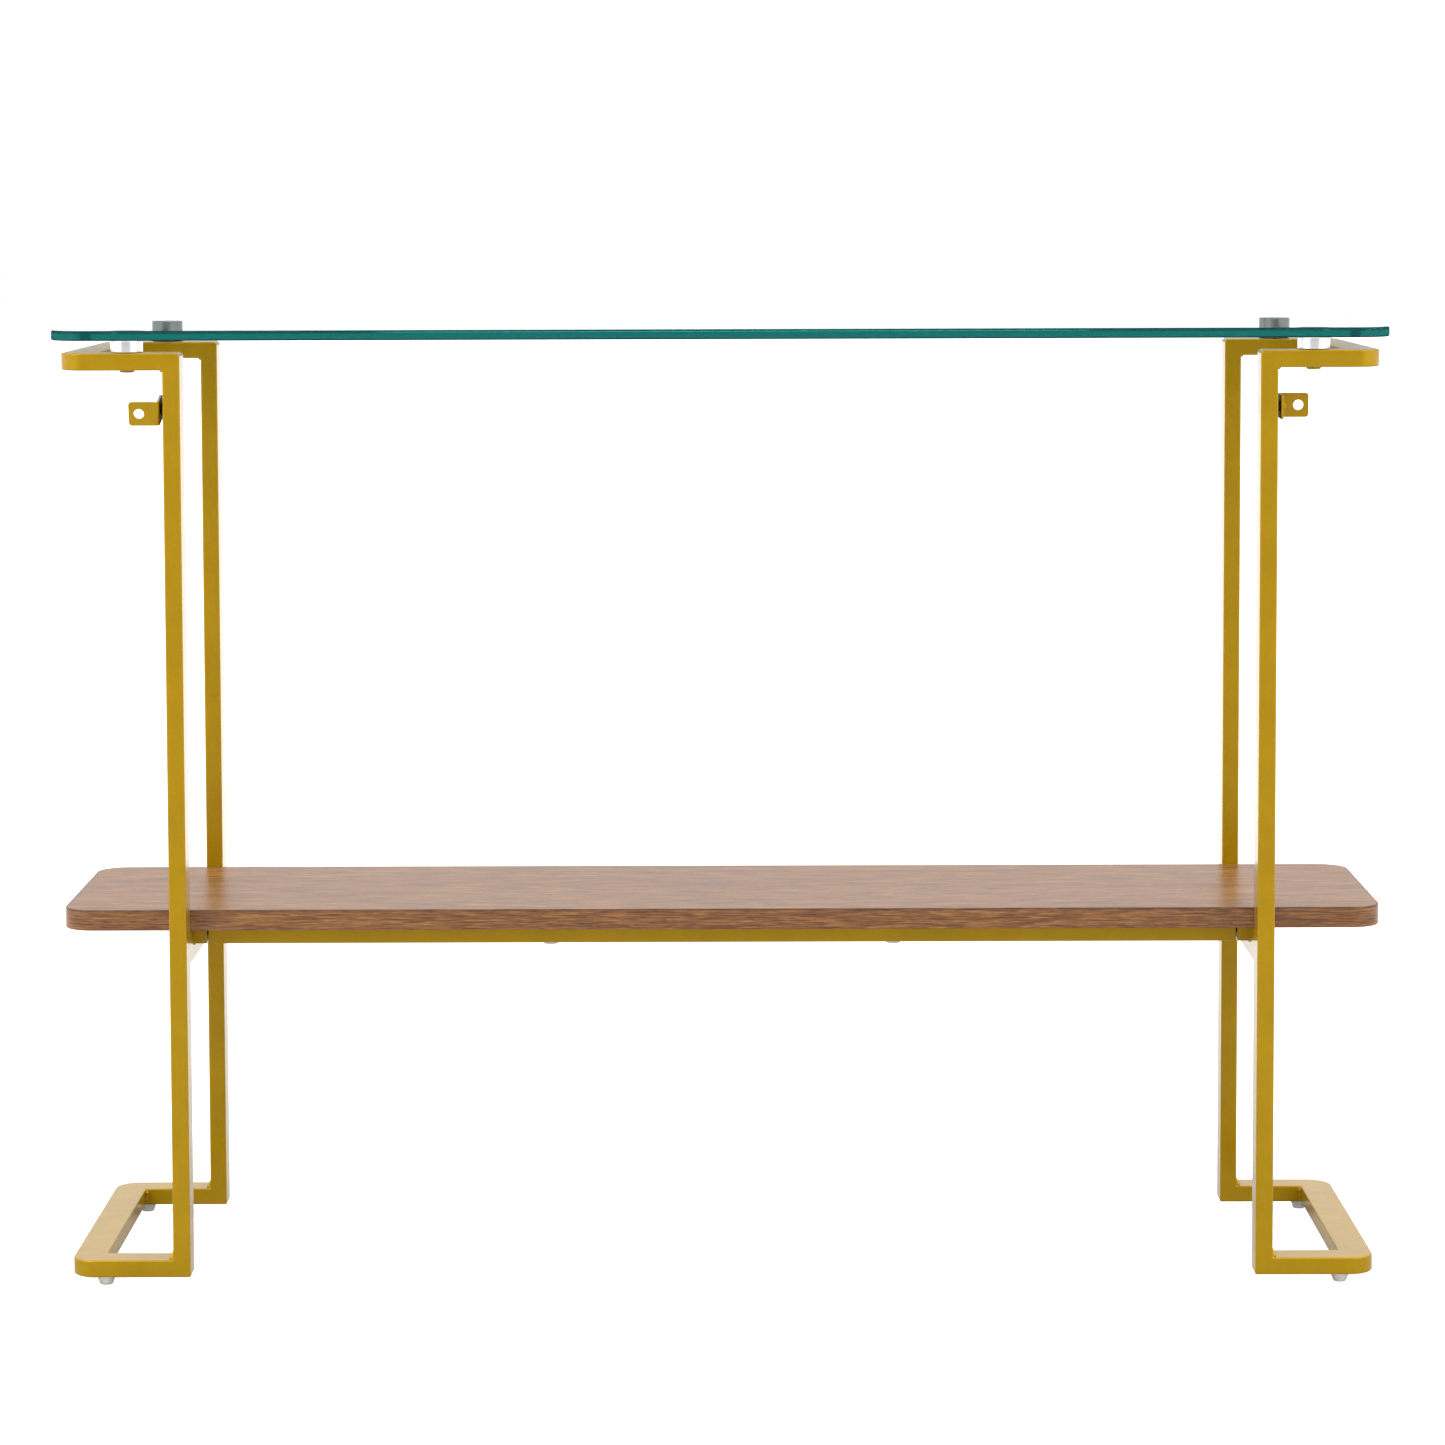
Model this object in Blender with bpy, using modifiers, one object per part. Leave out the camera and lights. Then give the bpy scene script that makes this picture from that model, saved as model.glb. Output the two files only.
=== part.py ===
"""Console table: a clear glass top on two gold tube end frames, with a walnut shelf between them.

Metres, +Z up. The origin is on the floor, under the middle of the table. +X runs along the table and
the side at -Y is the one that carries the two wall tabs.
"""

import math

import bmesh
import bpy
from mathutils import Matrix

# Overall sizes
GLASS_LENGTH = 1.072
GLASS_DEPTH = 0.300
TABLE_HEIGHT = 0.7745
FOOT_HEIGHT = 0.008

# Glass top
GLASS_THICKNESS = 0.008
GLASS_CORNER = 0.030
GLASS_ARRIS = 0.001
GLASS_OVERHANG = 0.008

# Rectangular tube of the end frames and the cross rails
TUBE_THICK = 0.014
TUBE_WIDE = 0.027
TUBE_WALL = 0.0012
TUBE_EDGE = 0.0015

# End frames: each loop reaches out past the uprights
LOOP_REACH = 0.083
LOOP_CORNER = 0.020
LOOP_INNER_CORNER = 0.0015

# Discs that carry the glass, and their screws
DISC_DIAMETER = 0.026
DISC_HEIGHT = 0.010
DISC_FROM_UPRIGHT = 0.0295
DISC_CHAMFER = 0.0005
DISC_SCREW_DIAMETER = 0.005
DISC_SCREW_ENGAGED = 0.006
DISC_SCREW_HEAD = 0.012
DISC_SCREW_HEAD_HEIGHT = 0.002

# Shelf
SHELF_OVERHANG = 0.0905
SHELF_TOP = 0.304
SHELF_THICKNESS = 0.017
SHELF_CORNER = 0.025
SHELF_EDGE = 0.0008
SHELF_CLEARANCE = 0.0005

# Cross rails under the shelf, with the stubs and bolts at their ends
RAIL_SETBACK = 0.021
STUB_LENGTH = 0.0105
RAIL_SEAM = 0.001
INSERT_LENGTH = 0.018
BOLT_DIAMETER = 0.006
BOLT_ENGAGED = 0.014
BOLT_HEAD = 0.011
BOLT_HEAD_HEIGHT = 0.003

# Screws that hold the shelf down on the cross rails
SHELF_SCREW_SPACING = 0.280
SHELF_SCREW_DIAMETER = 0.004
SHELF_SCREW_BITE = 0.011
SHELF_SCREW_HEAD = 0.012
SHELF_SCREW_HEAD_HEIGHT = 0.003

# Levelling feet
FOOT_INSET = 0.027
FOOT_TOP_DIAMETER = 0.0155
FOOT_BOTTOM_DIAMETER = 0.010
FOOT_GROOVE = 0.0004
FOOT_RIBS = 3
FOOT_STUD_DIAMETER = 0.006
FOOT_STUD_LENGTH = 0.0095
FOOT_BUSH_DIAMETER = 0.010
FOOT_BUSH_LENGTH = 0.0085

# Wall tabs
TAB_DROP = 0.0315
TAB_THICK = 0.002
TAB_TALL = 0.0195
TAB_REACH = 0.0245
TAB_LEG_FRONT = 0.013
TAB_LEG_BACK = 0.011
TAB_BEND = 0.0025
TAB_CORNER = 0.0025
TAB_HOLE_DIAMETER = 0.0083
TAB_HOLE_REACH = 0.0163
TAB_SWING = {-1: math.radians(14.0), 1: math.radians(2.0)}
TAB_SCREW_DIAMETER = 0.004
TAB_SCREW_HEAD = 0.0085
TAB_SCREW_HEAD_HEIGHT = 0.0022
TAB_SCREW_LENGTH = 0.008
TAB_SPACER_DIAMETER = 0.009
TAB_SPACER_LENGTH = 0.002

# Clearance between pieces that touch
GAP = 0.0003

# Facets
ARC_STEPS = 6
EDGE_STEPS = 2
TURN_STEPS = 16
DISC_STEPS = 32

# Places worked out from the sizes
GLASS_BOTTOM = TABLE_HEIGHT - GLASS_THICKNESS
TOP_LOOP_TOP = GLASS_BOTTOM - DISC_HEIGHT
TOP_LOOP_BOTTOM = TOP_LOOP_TOP - TUBE_THICK
BASE_LOOP_BOTTOM = FOOT_HEIGHT
BASE_LOOP_TOP = BASE_LOOP_BOTTOM + TUBE_THICK
FRAME_END = GLASS_LENGTH / 2 - GLASS_OVERHANG
FRAME_FRONT = GLASS_DEPTH / 2 - GLASS_OVERHANG
UPRIGHT_OUTER = FRAME_END - LOOP_REACH
UPRIGHT_INNER = UPRIGHT_OUTER - TUBE_THICK
UPRIGHT_X = UPRIGHT_OUTER - TUBE_THICK / 2
ARM_Y = FRAME_FRONT - TUBE_WIDE / 2
SHELF_BOTTOM = SHELF_TOP - SHELF_THICKNESS
SHELF_FRONT = FRAME_FRONT - TUBE_WIDE - SHELF_CLEARANCE
SHELF_LENGTH = 2 * (UPRIGHT_OUTER + SHELF_OVERHANG)
RAIL_TOP = SHELF_BOTTOM - GAP
RAIL_Z = RAIL_TOP - TUBE_THICK / 2
RAIL_Y = SHELF_FRONT - RAIL_SETBACK - TUBE_WIDE / 2
RAIL_END = UPRIGHT_INNER - GAP - STUB_LENGTH - RAIL_SEAM
SIDE_RAIL_Z = RAIL_TOP - TUBE_WIDE / 2
DISC_X = UPRIGHT_OUTER + DISC_FROM_UPRIGHT
FOOT_X = FRAME_END - FOOT_INSET
TAB_Z = TOP_LOOP_BOTTOM - TAB_DROP
TAB_NEAR = TAB_SPACER_LENGTH + 2 * GAP

SIDES = {-1: "left", 1: "right"}
ENDS = {-1: "front", 1: "rear"}


def clear_scene():
    for obj in list(bpy.data.objects):
        bpy.data.objects.remove(obj, do_unlink=True)


def new_collection(name):
    collection = bpy.data.collections.new(name)
    bpy.context.scene.collection.children.link(collection)
    return collection


def new_material(name, colour, roughness, metallic=0.0, transmission=0.0):
    material = bpy.data.materials.new(name)
    material.use_nodes = True
    shader = material.node_tree.nodes["Principled BSDF"]
    shader.inputs["Base Color"].default_value = (*colour, 1.0)
    shader.inputs["Roughness"].default_value = roughness
    shader.inputs["Metallic"].default_value = metallic
    shader.inputs["Transmission Weight"].default_value = transmission
    material.diffuse_color = (*colour, 1.0)
    return material


def add_object(name, mesh, material, location=(0, 0, 0), rotation=(0, 0, 0)):
    """A part of the table: one named object in the table's collection, with its own material."""
    obj = bpy.data.objects.new(name, mesh)
    obj.location = location
    obj.rotation_euler = rotation
    own_material = material.copy()
    own_material.name = name
    if not mesh.materials:
        mesh.materials.append(own_material)
    TABLE.objects.link(obj)
    return obj


def add_cutter(name, mesh, location=(0, 0, 0), rotation=(0, 0, 0)):
    cutter = bpy.data.objects.new(name, mesh)
    cutter.location = location
    cutter.rotation_euler = rotation
    cutter.hide_render = True
    cutter.display_type = "WIRE"
    CUTTERS.objects.link(cutter)
    return cutter


def cut(obj, cutter):
    boolean = obj.modifiers.new(cutter.name, "BOOLEAN")
    boolean.operation = "DIFFERENCE"
    boolean.solver = "EXACT"
    boolean.object = cutter


def round_edges(obj, width, steps=EDGE_STEPS):
    bevel = obj.modifiers.new("rounded_edges", "BEVEL")
    bevel.width = width
    bevel.segments = steps
    bevel.limit_method = "ANGLE"
    bevel.angle_limit = math.radians(60)


def mesh_from(name, fill):
    """A mesh that the function fill(bm) has drawn, with its faces pointing out."""
    bm = bmesh.new()
    fill(bm)
    bmesh.ops.recalc_face_normals(bm, faces=bm.faces)
    mesh = bpy.data.meshes.new(name)
    bm.to_mesh(mesh)
    bm.free()
    return mesh


def arc(centre_x, centre_y, radius, start, steps=ARC_STEPS, turn=90):
    """Points on an arc that begins at the angle start, in degrees, and turns by turn degrees."""
    angles = [math.radians(start + turn * step / steps) for step in range(steps + 1)]
    return [(centre_x + radius * math.cos(a), centre_y + radius * math.sin(a)) for a in angles]


def rounded_rectangle(size_x, size_y, radius, steps=ARC_STEPS):
    x = size_x / 2 - radius
    y = size_y / 2 - radius
    corners = [(x, y, 0), (-x, y, 90), (-x, -y, 180), (x, -y, 270)]
    return [point for cx, cy, start in corners for point in arc(cx, cy, radius, start, steps)]


def loop_outline(inset, open_end):
    """Plan of a loop at the +X end: a U that opens towards the middle, inset all round by a wall."""
    end = FRAME_END - inset
    front = FRAME_FRONT - inset
    inner_end = FRAME_END - TUBE_WIDE + inset
    inner_front = FRAME_FRONT - TUBE_WIDE + inset
    outer = LOOP_CORNER - inset
    inner = LOOP_INNER_CORNER + inset
    points = [(open_end, -front)]
    points += arc(end - outer, -front + outer, outer, -90)
    points += arc(end - outer, front - outer, outer, 0)
    points += [(open_end, front), (open_end, inner_front)]
    points += arc(inner_end - inner, inner_front - inner, inner, 90, EDGE_STEPS, -90)
    points += arc(inner_end - inner, -inner_front + inner, inner, 0, EDGE_STEPS, -90)
    points += [(open_end, -inner_front)]
    return points


def extruded(name, outlines, height):
    """A solid of flat outlines, centred on z = 0; a second outline inside the first is a hole."""
    curve = bpy.data.curves.new(name, "CURVE")
    curve.dimensions = "2D"
    curve.fill_mode = "BOTH"
    curve.extrude = height / 2
    for outline in outlines:
        spline = curve.splines.new("POLY")
        spline.points.add(len(outline) - 1)
        for point, (x, y) in zip(spline.points, outline):
            point.co = (x, y, 0, 1)
        spline.use_cyclic_u = True
    guide = bpy.data.objects.new(name, curve)
    bpy.context.scene.collection.objects.link(guide)
    bpy.context.view_layer.update()
    evaluated = guide.evaluated_get(bpy.context.evaluated_depsgraph_get())
    mesh = bpy.data.meshes.new_from_object(evaluated)
    bpy.data.objects.remove(guide)
    bpy.data.curves.remove(curve)
    bm = bmesh.new()
    bm.from_mesh(mesh)
    bmesh.ops.remove_doubles(bm, verts=bm.verts, dist=1e-6)
    bmesh.ops.recalc_face_normals(bm, faces=bm.faces)
    bm.to_mesh(mesh)
    bm.free()
    mesh.name = name
    return mesh


def tube(name, length):
    """A length of the frame's tube along local Z, thin way along X, open at both ends."""
    outside = rounded_rectangle(TUBE_THICK, TUBE_WIDE, TUBE_EDGE, EDGE_STEPS)
    bore_x = TUBE_THICK - 2 * TUBE_WALL
    bore_y = TUBE_WIDE - 2 * TUBE_WALL
    inside = rounded_rectangle(bore_x, bore_y, TUBE_EDGE - TUBE_WALL, 1)
    return extruded(name, [outside, inside], length)


def cylinder(name, diameter, length):
    """A cylinder along local Z, centred on its origin."""

    def fill(bm):
        radius = diameter / 2
        bmesh.ops.create_cone(
            bm, cap_ends=True, segments=TURN_STEPS, radius1=radius, radius2=radius, depth=length
        )

    return mesh_from(name, fill)


def turned(name, profile, material, location, rotation=(0, 0, 0), closed=False, steps=TURN_STEPS):
    """A piece turned about local Z from (radius, height) points, listed from the top down."""
    count = len(profile)
    edges = [(i, i + 1) for i in range(count - 1)]
    if closed:
        edges.append((count - 1, 0))
    mesh = bpy.data.meshes.new(name)
    mesh.from_pydata([(radius, 0, height) for radius, height in profile], edges, [])
    obj = add_object(name, mesh, material, location, rotation)
    screw = obj.modifiers.new("turn", "SCREW")
    screw.axis = "Z"
    screw.steps = steps
    screw.render_steps = steps
    screw.use_smooth_shade = True
    screw.use_merge_vertices = True
    screw.merge_threshold = 1e-5
    return obj


def headed_screw_profile(head, head_height, shank, length):
    """Half outline of a pan-head screw: shank from z = 0 up to its length, head below z = 0."""
    dome = [
        (head / 2 * math.cos(a), -head_height * math.sin(a))
        for a in (math.radians(angle) for angle in (0, 30, 60, 90))
    ]
    dome[-1] = (0, -head_height)
    return [(0, length), (shank / 2, length), (shank / 2, 0), *dome]


def add_glass():
    outline = rounded_rectangle(GLASS_LENGTH, GLASS_DEPTH, GLASS_CORNER)
    mesh = extruded("glass_top", [outline], GLASS_THICKNESS)
    glass = add_object("glass_top", mesh, GLASS, (0, 0, GLASS_BOTTOM + GLASS_THICKNESS / 2))
    round_edges(glass, GLASS_ARRIS, 1)


def add_shelf():
    outline = rounded_rectangle(SHELF_LENGTH, 2 * SHELF_FRONT, SHELF_CORNER)
    mesh = extruded("shelf_board", [outline], SHELF_THICKNESS)
    shelf = add_object("shelf_board", mesh, WALNUT, (0, 0, SHELF_BOTTOM + SHELF_THICKNESS / 2))
    round_edges(shelf, SHELF_EDGE, 1)
    for side, end, x, y in screw_places():
        name = f"pilot_{SIDES[side]}_{ENDS[end]}"
        depth = SHELF_SCREW_BITE + GAP
        pilot = cylinder(name, SHELF_SCREW_DIAMETER + 2 * GAP, 2 * depth)
        cut(shelf, add_cutter(name, pilot, (x, y, SHELF_BOTTOM)))


def screw_places():
    half = SHELF_SCREW_SPACING / 2
    return [(side, end, side * half, end * RAIL_Y) for side in SIDES for end in ENDS]


def add_upright(side, end):
    """An upright whose ends are mitred into the two loops."""
    name = f"{SIDES[side]}_{ENDS[end]}_upright"
    length = TOP_LOOP_BOTTOM - BASE_LOOP_TOP
    mesh = tube(name, length)
    slip = GAP * math.sqrt(2)
    for vertex in mesh.vertices:
        upper = 1 if vertex.co.z > 0 else -1
        vertex.co.z += upper * (TUBE_THICK / 2 - side * vertex.co.x - slip)
    upright = add_object(name, mesh, GOLD, (side * UPRIGHT_X, end * ARM_Y, BASE_LOOP_TOP + length / 2))
    if end < 0:
        hole_name = f"{name}_tab_hole"
        hole = cylinder(hole_name, TAB_SCREW_DIAMETER + 2 * GAP, TUBE_THICK)
        place = (side * UPRIGHT_OUTER, end * ARM_Y, TAB_Z)
        cut(upright, add_cutter(hole_name, hole, place, (0, math.radians(90), 0)))


def add_loop(side, level, bottom, hole_diameter, hole_depth, hole_x):
    """A horizontal U of tube at the top or the base of one end frame."""
    name = f"{SIDES[side]}_{level}_loop"
    middle = bottom + TUBE_THICK / 2
    open_end = UPRIGHT_INNER - TUBE_THICK
    turn = (0, 0, 0) if side > 0 else (0, 0, math.pi)
    mesh = extruded(name, [loop_outline(0, open_end)], TUBE_THICK)
    loop = add_object(name, mesh, GOLD, (0, 0, middle), turn)
    round_edges(loop, TUBE_EDGE)

    bore_name = f"{name}_bore"
    bore_end = open_end - TUBE_THICK
    bore = extruded(bore_name, [loop_outline(TUBE_WALL, bore_end)], TUBE_THICK - 2 * TUBE_WALL)
    cut(loop, add_cutter(bore_name, bore, (0, 0, middle), turn))

    mitre_name = f"{name}_mitre"
    mitre_side = 4 * TUBE_THICK

    def fill(bm):
        bmesh.ops.create_cube(bm, size=1)
        bmesh.ops.scale(bm, verts=bm.verts, vec=(mitre_side, 3 * FRAME_FRONT, mitre_side))
        bmesh.ops.translate(bm, verts=bm.verts, vec=(-mitre_side / 2, 0, 0))

    mitre = mesh_from(mitre_name, fill)
    slope = 1 if level == "top" else -1
    tilt = -slope * math.radians(45) * side
    flip = 0 if side > 0 else math.pi
    place = (side * UPRIGHT_X, 0, middle)
    mitre.transform(Matrix.Rotation(tilt, 4, "Y") @ Matrix.Rotation(flip, 4, "Z"))
    cut(loop, add_cutter(mitre_name, mitre, place))

    for end, end_name in ENDS.items():
        hole_name = f"{name}_{end_name}_hole"
        hole = cylinder(hole_name, hole_diameter, 2 * hole_depth)
        cut(loop, add_cutter(hole_name, hole, (side * hole_x, end * ARM_Y, bottom)))


def add_side_rail(side):
    """The front-to-back tube between the uprights, with a hole through it for each bolt."""
    name = f"{SIDES[side]}_side_rail"
    length = 2 * (FRAME_FRONT - TUBE_WIDE - GAP)
    place = (side * UPRIGHT_X, 0, SIDE_RAIL_Z)
    rail = add_object(name, tube(name, length), GOLD, place, (math.radians(90), 0, 0))
    for end, end_name in ENDS.items():
        hole_name = f"{name}_{end_name}_hole"
        hole = cylinder(hole_name, BOLT_DIAMETER + 2 * GAP, 2 * TUBE_THICK)
        place = (side * UPRIGHT_X, end * RAIL_Y, RAIL_Z)
        cut(rail, add_cutter(hole_name, hole, place, (0, math.radians(90), 0)))


def add_rail_end(side, end):
    """The stub welded to the side rail, the threaded insert in the cross rail, and their bolt."""
    prefix = f"{SIDES[side]}_{ENDS[end]}"
    quarter = (0, math.radians(90), 0)
    stub_x = side * (UPRIGHT_INNER - GAP - STUB_LENGTH / 2)
    stub_name = f"{prefix}_rail_stub"
    place = (stub_x, end * RAIL_Y, RAIL_Z)
    add_object(stub_name, tube(stub_name, STUB_LENGTH), GOLD, place, quarter)

    insert_name = f"{prefix}_rail_insert"
    room = 2 * (TUBE_WALL + GAP)
    outside = rounded_rectangle(TUBE_THICK - room, TUBE_WIDE - room, GAP, 1)
    thread = arc(0, 0, BOLT_DIAMETER / 2 + GAP, 0, TURN_STEPS, 360)[:-1]
    insert_mesh = extruded(insert_name, [outside, thread], INSERT_LENGTH)
    insert_x = side * (RAIL_END - GAP - INSERT_LENGTH / 2)
    add_object(insert_name, insert_mesh, ZINC, (insert_x, end * RAIL_Y, RAIL_Z), quarter)

    tip_x = RAIL_END - GAP - BOLT_ENGAGED
    length = UPRIGHT_OUTER + GAP - tip_x
    profile = headed_screw_profile(BOLT_HEAD, BOLT_HEAD_HEIGHT, BOLT_DIAMETER, length)
    place = (side * (UPRIGHT_OUTER + GAP), end * RAIL_Y, RAIL_Z)
    turned(f"{prefix}_rail_bolt", profile, ZINC, place, (0, -side * math.radians(90), 0))


def add_cross_rail(end):
    name = f"{ENDS[end]}_cross_rail"
    place = (0, end * RAIL_Y, RAIL_Z)
    rail = add_object(name, tube(name, 2 * RAIL_END), GOLD, place, (0, math.radians(90), 0))
    for side, screw_end, x, y in screw_places():
        if screw_end == end:
            hole_name = f"{name}_{SIDES[side]}_hole"
            hole = cylinder(hole_name, SHELF_SCREW_DIAMETER + 2 * GAP, 2 * TUBE_THICK)
            cut(rail, add_cutter(hole_name, hole, (x, y, RAIL_Z)))


def add_shelf_screws():
    """Pan-head screws, up through each cross rail and into the shelf."""
    rail_bottom = RAIL_TOP - TUBE_THICK
    length = SHELF_BOTTOM + SHELF_SCREW_BITE - rail_bottom
    profile = headed_screw_profile(
        SHELF_SCREW_HEAD, SHELF_SCREW_HEAD_HEIGHT, SHELF_SCREW_DIAMETER, length
    )
    for side, end, x, y in screw_places():
        name = f"{SIDES[side]}_{ENDS[end]}_shelf_screw"
        turned(name, profile, ZINC, (x, y, rail_bottom - GAP))


def add_disc(side, end):
    """The metal disc bonded under the glass, and the screw that holds it to the top loop."""
    prefix = f"{SIDES[side]}_{ENDS[end]}"
    radius = DISC_DIAMETER / 2
    top = DISC_HEIGHT - 2 * GAP
    thread = DISC_SCREW_DIAMETER / 2 + GAP
    blind = DISC_SCREW_ENGAGED + GAP
    profile = [
        (0, top),
        (radius - DISC_CHAMFER, top),
        (radius, top - DISC_CHAMFER),
        (radius, DISC_CHAMFER),
        (radius - DISC_CHAMFER, 0),
        (thread, 0),
        (thread, blind),
        (0, blind),
    ]
    x = side * DISC_X
    y = end * ARM_Y
    turned(f"{prefix}_standoff_disc", profile, STEEL, (x, y, TOP_LOOP_TOP + GAP), steps=DISC_STEPS)
    length = TUBE_THICK + GAP + DISC_SCREW_ENGAGED
    profile = headed_screw_profile(
        DISC_SCREW_HEAD, DISC_SCREW_HEAD_HEIGHT, DISC_SCREW_DIAMETER, length
    )
    turned(f"{prefix}_standoff_screw", profile, GOLD, (x, y, TOP_LOOP_BOTTOM - GAP))


def add_foot(side, end):
    """A ribbed levelling foot on its stud, and the threaded bush in the base loop."""
    prefix = f"{SIDES[side]}_{ENDS[end]}"
    x = side * FOOT_X
    y = end * ARM_Y
    top_radius = FOOT_TOP_DIAMETER / 2
    taper = (FOOT_TOP_DIAMETER - FOOT_BOTTOM_DIAMETER) / 2
    pad_top = FOOT_HEIGHT - GAP
    rib = pad_top / FOOT_RIBS
    stud = FOOT_STUD_DIAMETER / 2
    profile = [(0, BASE_LOOP_BOTTOM + FOOT_STUD_LENGTH), (stud, BASE_LOOP_BOTTOM + FOOT_STUD_LENGTH)]
    profile.append((stud, pad_top))
    for index in range(FOOT_RIBS):
        for fraction, depth in ((0, 0), (0.7, 0), (0.85, FOOT_GROOVE)):
            height = pad_top - rib * (index + fraction)
            profile.append((top_radius - taper * (1 - height / pad_top) - depth, height))
    profile += [(FOOT_BOTTOM_DIAMETER / 2 - FOOT_GROOVE, 0), (0, 0)]
    turned(f"{prefix}_foot", profile, PLASTIC, (x, y, 0))

    bush_low = BASE_LOOP_BOTTOM + GAP
    bush_high = bush_low + FOOT_BUSH_LENGTH
    outer = FOOT_BUSH_DIAMETER / 2
    ring = [
        (stud + GAP, bush_high),
        (outer, bush_high),
        (outer, bush_low),
        (stud + GAP, bush_low),
    ]
    turned(f"{prefix}_foot_bush", ring, ZINC, (x, y, 0), closed=True)


def tab_mesh():
    """The stamped L tab, with the screw's axis along local X and the wall leg reaching to -X."""
    near = TAB_NEAR
    far = near + TAB_REACH
    front = -TAB_LEG_FRONT
    inner_bend = TAB_BEND - TAB_THICK
    outline = [(-near, TAB_LEG_BACK), (-near - TAB_THICK, TAB_LEG_BACK)]
    bend_x = -near - TAB_BEND
    bend_y = front + TAB_BEND
    outline += arc(bend_x, bend_y, inner_bend, 0, 2, -90)
    outline += [(-far, front + TAB_THICK), (-far, front)]
    outline += arc(bend_x, bend_y, TAB_BEND, -90, 4, 90)
    bm = bmesh.new()
    low, high = ([bm.verts.new((x, y, z)) for x, y in outline] for z in (-TAB_TALL / 2, TAB_TALL / 2))
    bm.faces.new(reversed(low))
    bm.faces.new(high)
    for i in range(len(outline)):
        j = (i + 1) % len(outline)
        bm.faces.new((low[i], low[j], high[j], high[i]))
    corners = []
    for edge in bm.edges:
        middle = (edge.verts[0].co + edge.verts[1].co) / 2
        across = abs(edge.verts[0].co.z - edge.verts[1].co.z) < GAP
        at_tip = abs(middle.x + far) < GAP / 2 or abs(middle.y - TAB_LEG_BACK) < GAP / 2
        if across and at_tip and edge.calc_length() > TAB_THICK / 2:
            if abs(abs(middle.z) - TAB_TALL / 2) < GAP / 2:
                corners.append(edge)
    bmesh.ops.bevel(bm, geom=corners, offset=TAB_CORNER, segments=3, profile=0.5, affect="EDGES")
    bmesh.ops.recalc_face_normals(bm, faces=bm.faces)
    mesh = bpy.data.meshes.new("wall_tab")
    bm.to_mesh(mesh)
    bm.free()
    return mesh


def add_tab(side):
    """A wall tab outside the front upright, on a round spacer and free to turn about its screw.

    Both tabs are the same stamping: the right one is turned half round, so its wall leg lies behind.
    """
    name = f"{SIDES[side]}_wall_tab"
    centre = (side * UPRIGHT_OUTER, -ARM_Y, TAB_Z)
    turn = Matrix.Rotation(TAB_SWING[side], 4, "X")
    if side > 0:
        turn = turn @ Matrix.Rotation(math.pi, 4, "Z")
    tab = add_object(name, tab_mesh(), GOLD, centre, turn.to_euler())

    wall_hole = f"{name}_wall_hole"
    mesh = cylinder(wall_hole, TAB_HOLE_DIAMETER, 4 * TAB_THICK)
    mesh.transform(Matrix.Rotation(math.radians(90), 4, "X"))
    mesh.transform(Matrix.Translation((-TAB_NEAR - TAB_HOLE_REACH, -TAB_LEG_FRONT + TAB_THICK / 2, 0)))
    cut(tab, add_cutter(wall_hole, mesh, centre, turn.to_euler()))

    screw_hole = f"{name}_screw_hole"
    mesh = cylinder(screw_hole, TAB_SCREW_DIAMETER + 2 * GAP, 3 * (TAB_NEAR + TAB_THICK))
    cut(tab, add_cutter(screw_hole, mesh, centre, (0, math.radians(90), 0)))

    spacer_low = GAP
    spacer_high = spacer_low + TAB_SPACER_LENGTH
    inner = TAB_SCREW_DIAMETER / 2 + GAP
    outer = TAB_SPACER_DIAMETER / 2
    ring = [(inner, spacer_high), (outer, spacer_high), (outer, spacer_low), (inner, spacer_low)]
    spacer = f"{SIDES[side]}_tab_spacer"
    turned(spacer, ring, GOLD, centre, (0, side * math.radians(90), 0), closed=True)

    reach = TAB_NEAR + TAB_THICK + GAP
    head_x = UPRIGHT_OUTER + reach
    length = reach + TAB_SCREW_LENGTH
    profile = headed_screw_profile(
        TAB_SCREW_HEAD, TAB_SCREW_HEAD_HEIGHT, TAB_SCREW_DIAMETER, length
    )
    place = (side * head_x, -ARM_Y, TAB_Z)
    turned(f"{SIDES[side]}_tab_screw", profile, GOLD, place, (0, -side * math.radians(90), 0))


clear_scene()
TABLE = new_collection("console_table")
CUTTERS = new_collection("cutters")
GOLD = new_material("gold_paint", (0.50, 0.29, 0.03), 0.38, metallic=0.6)
GLASS = new_material("clear_glass", (0.86, 0.97, 0.95), 0.02, transmission=1.0)
WALNUT = new_material("walnut_laminate", (0.22, 0.10, 0.045), 0.42)
STEEL = new_material("polished_steel", (0.80, 0.80, 0.81), 0.14, metallic=1.0)
ZINC = new_material("zinc_plate", (0.55, 0.56, 0.57), 0.35, metallic=1.0)
PLASTIC = new_material("pale_plastic", (0.74, 0.73, 0.71), 0.45)

add_glass()
add_shelf()
for table_end in ENDS:
    add_cross_rail(table_end)
add_shelf_screws()
for table_side in SIDES:
    add_loop(
        table_side, "top", TOP_LOOP_BOTTOM, DISC_SCREW_DIAMETER + 2 * GAP, 2 * TUBE_THICK, DISC_X
    )
    add_loop(
        table_side, "base", BASE_LOOP_BOTTOM, FOOT_BUSH_DIAMETER + 2 * GAP, 2 * TUBE_WALL, FOOT_X
    )
    add_side_rail(table_side)
    for table_end in ENDS:
        add_upright(table_side, table_end)
        add_rail_end(table_side, table_end)
        add_disc(table_side, table_end)
        add_foot(table_side, table_end)
    add_tab(table_side)
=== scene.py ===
"""Looks of a console table with a glass top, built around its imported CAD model.

Metres, +Z up, in the frame of the CAD. The front of the table is at -Y.
"""

import math
import random

import bmesh
import bpy
from mathutils import Matrix, Vector


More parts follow.
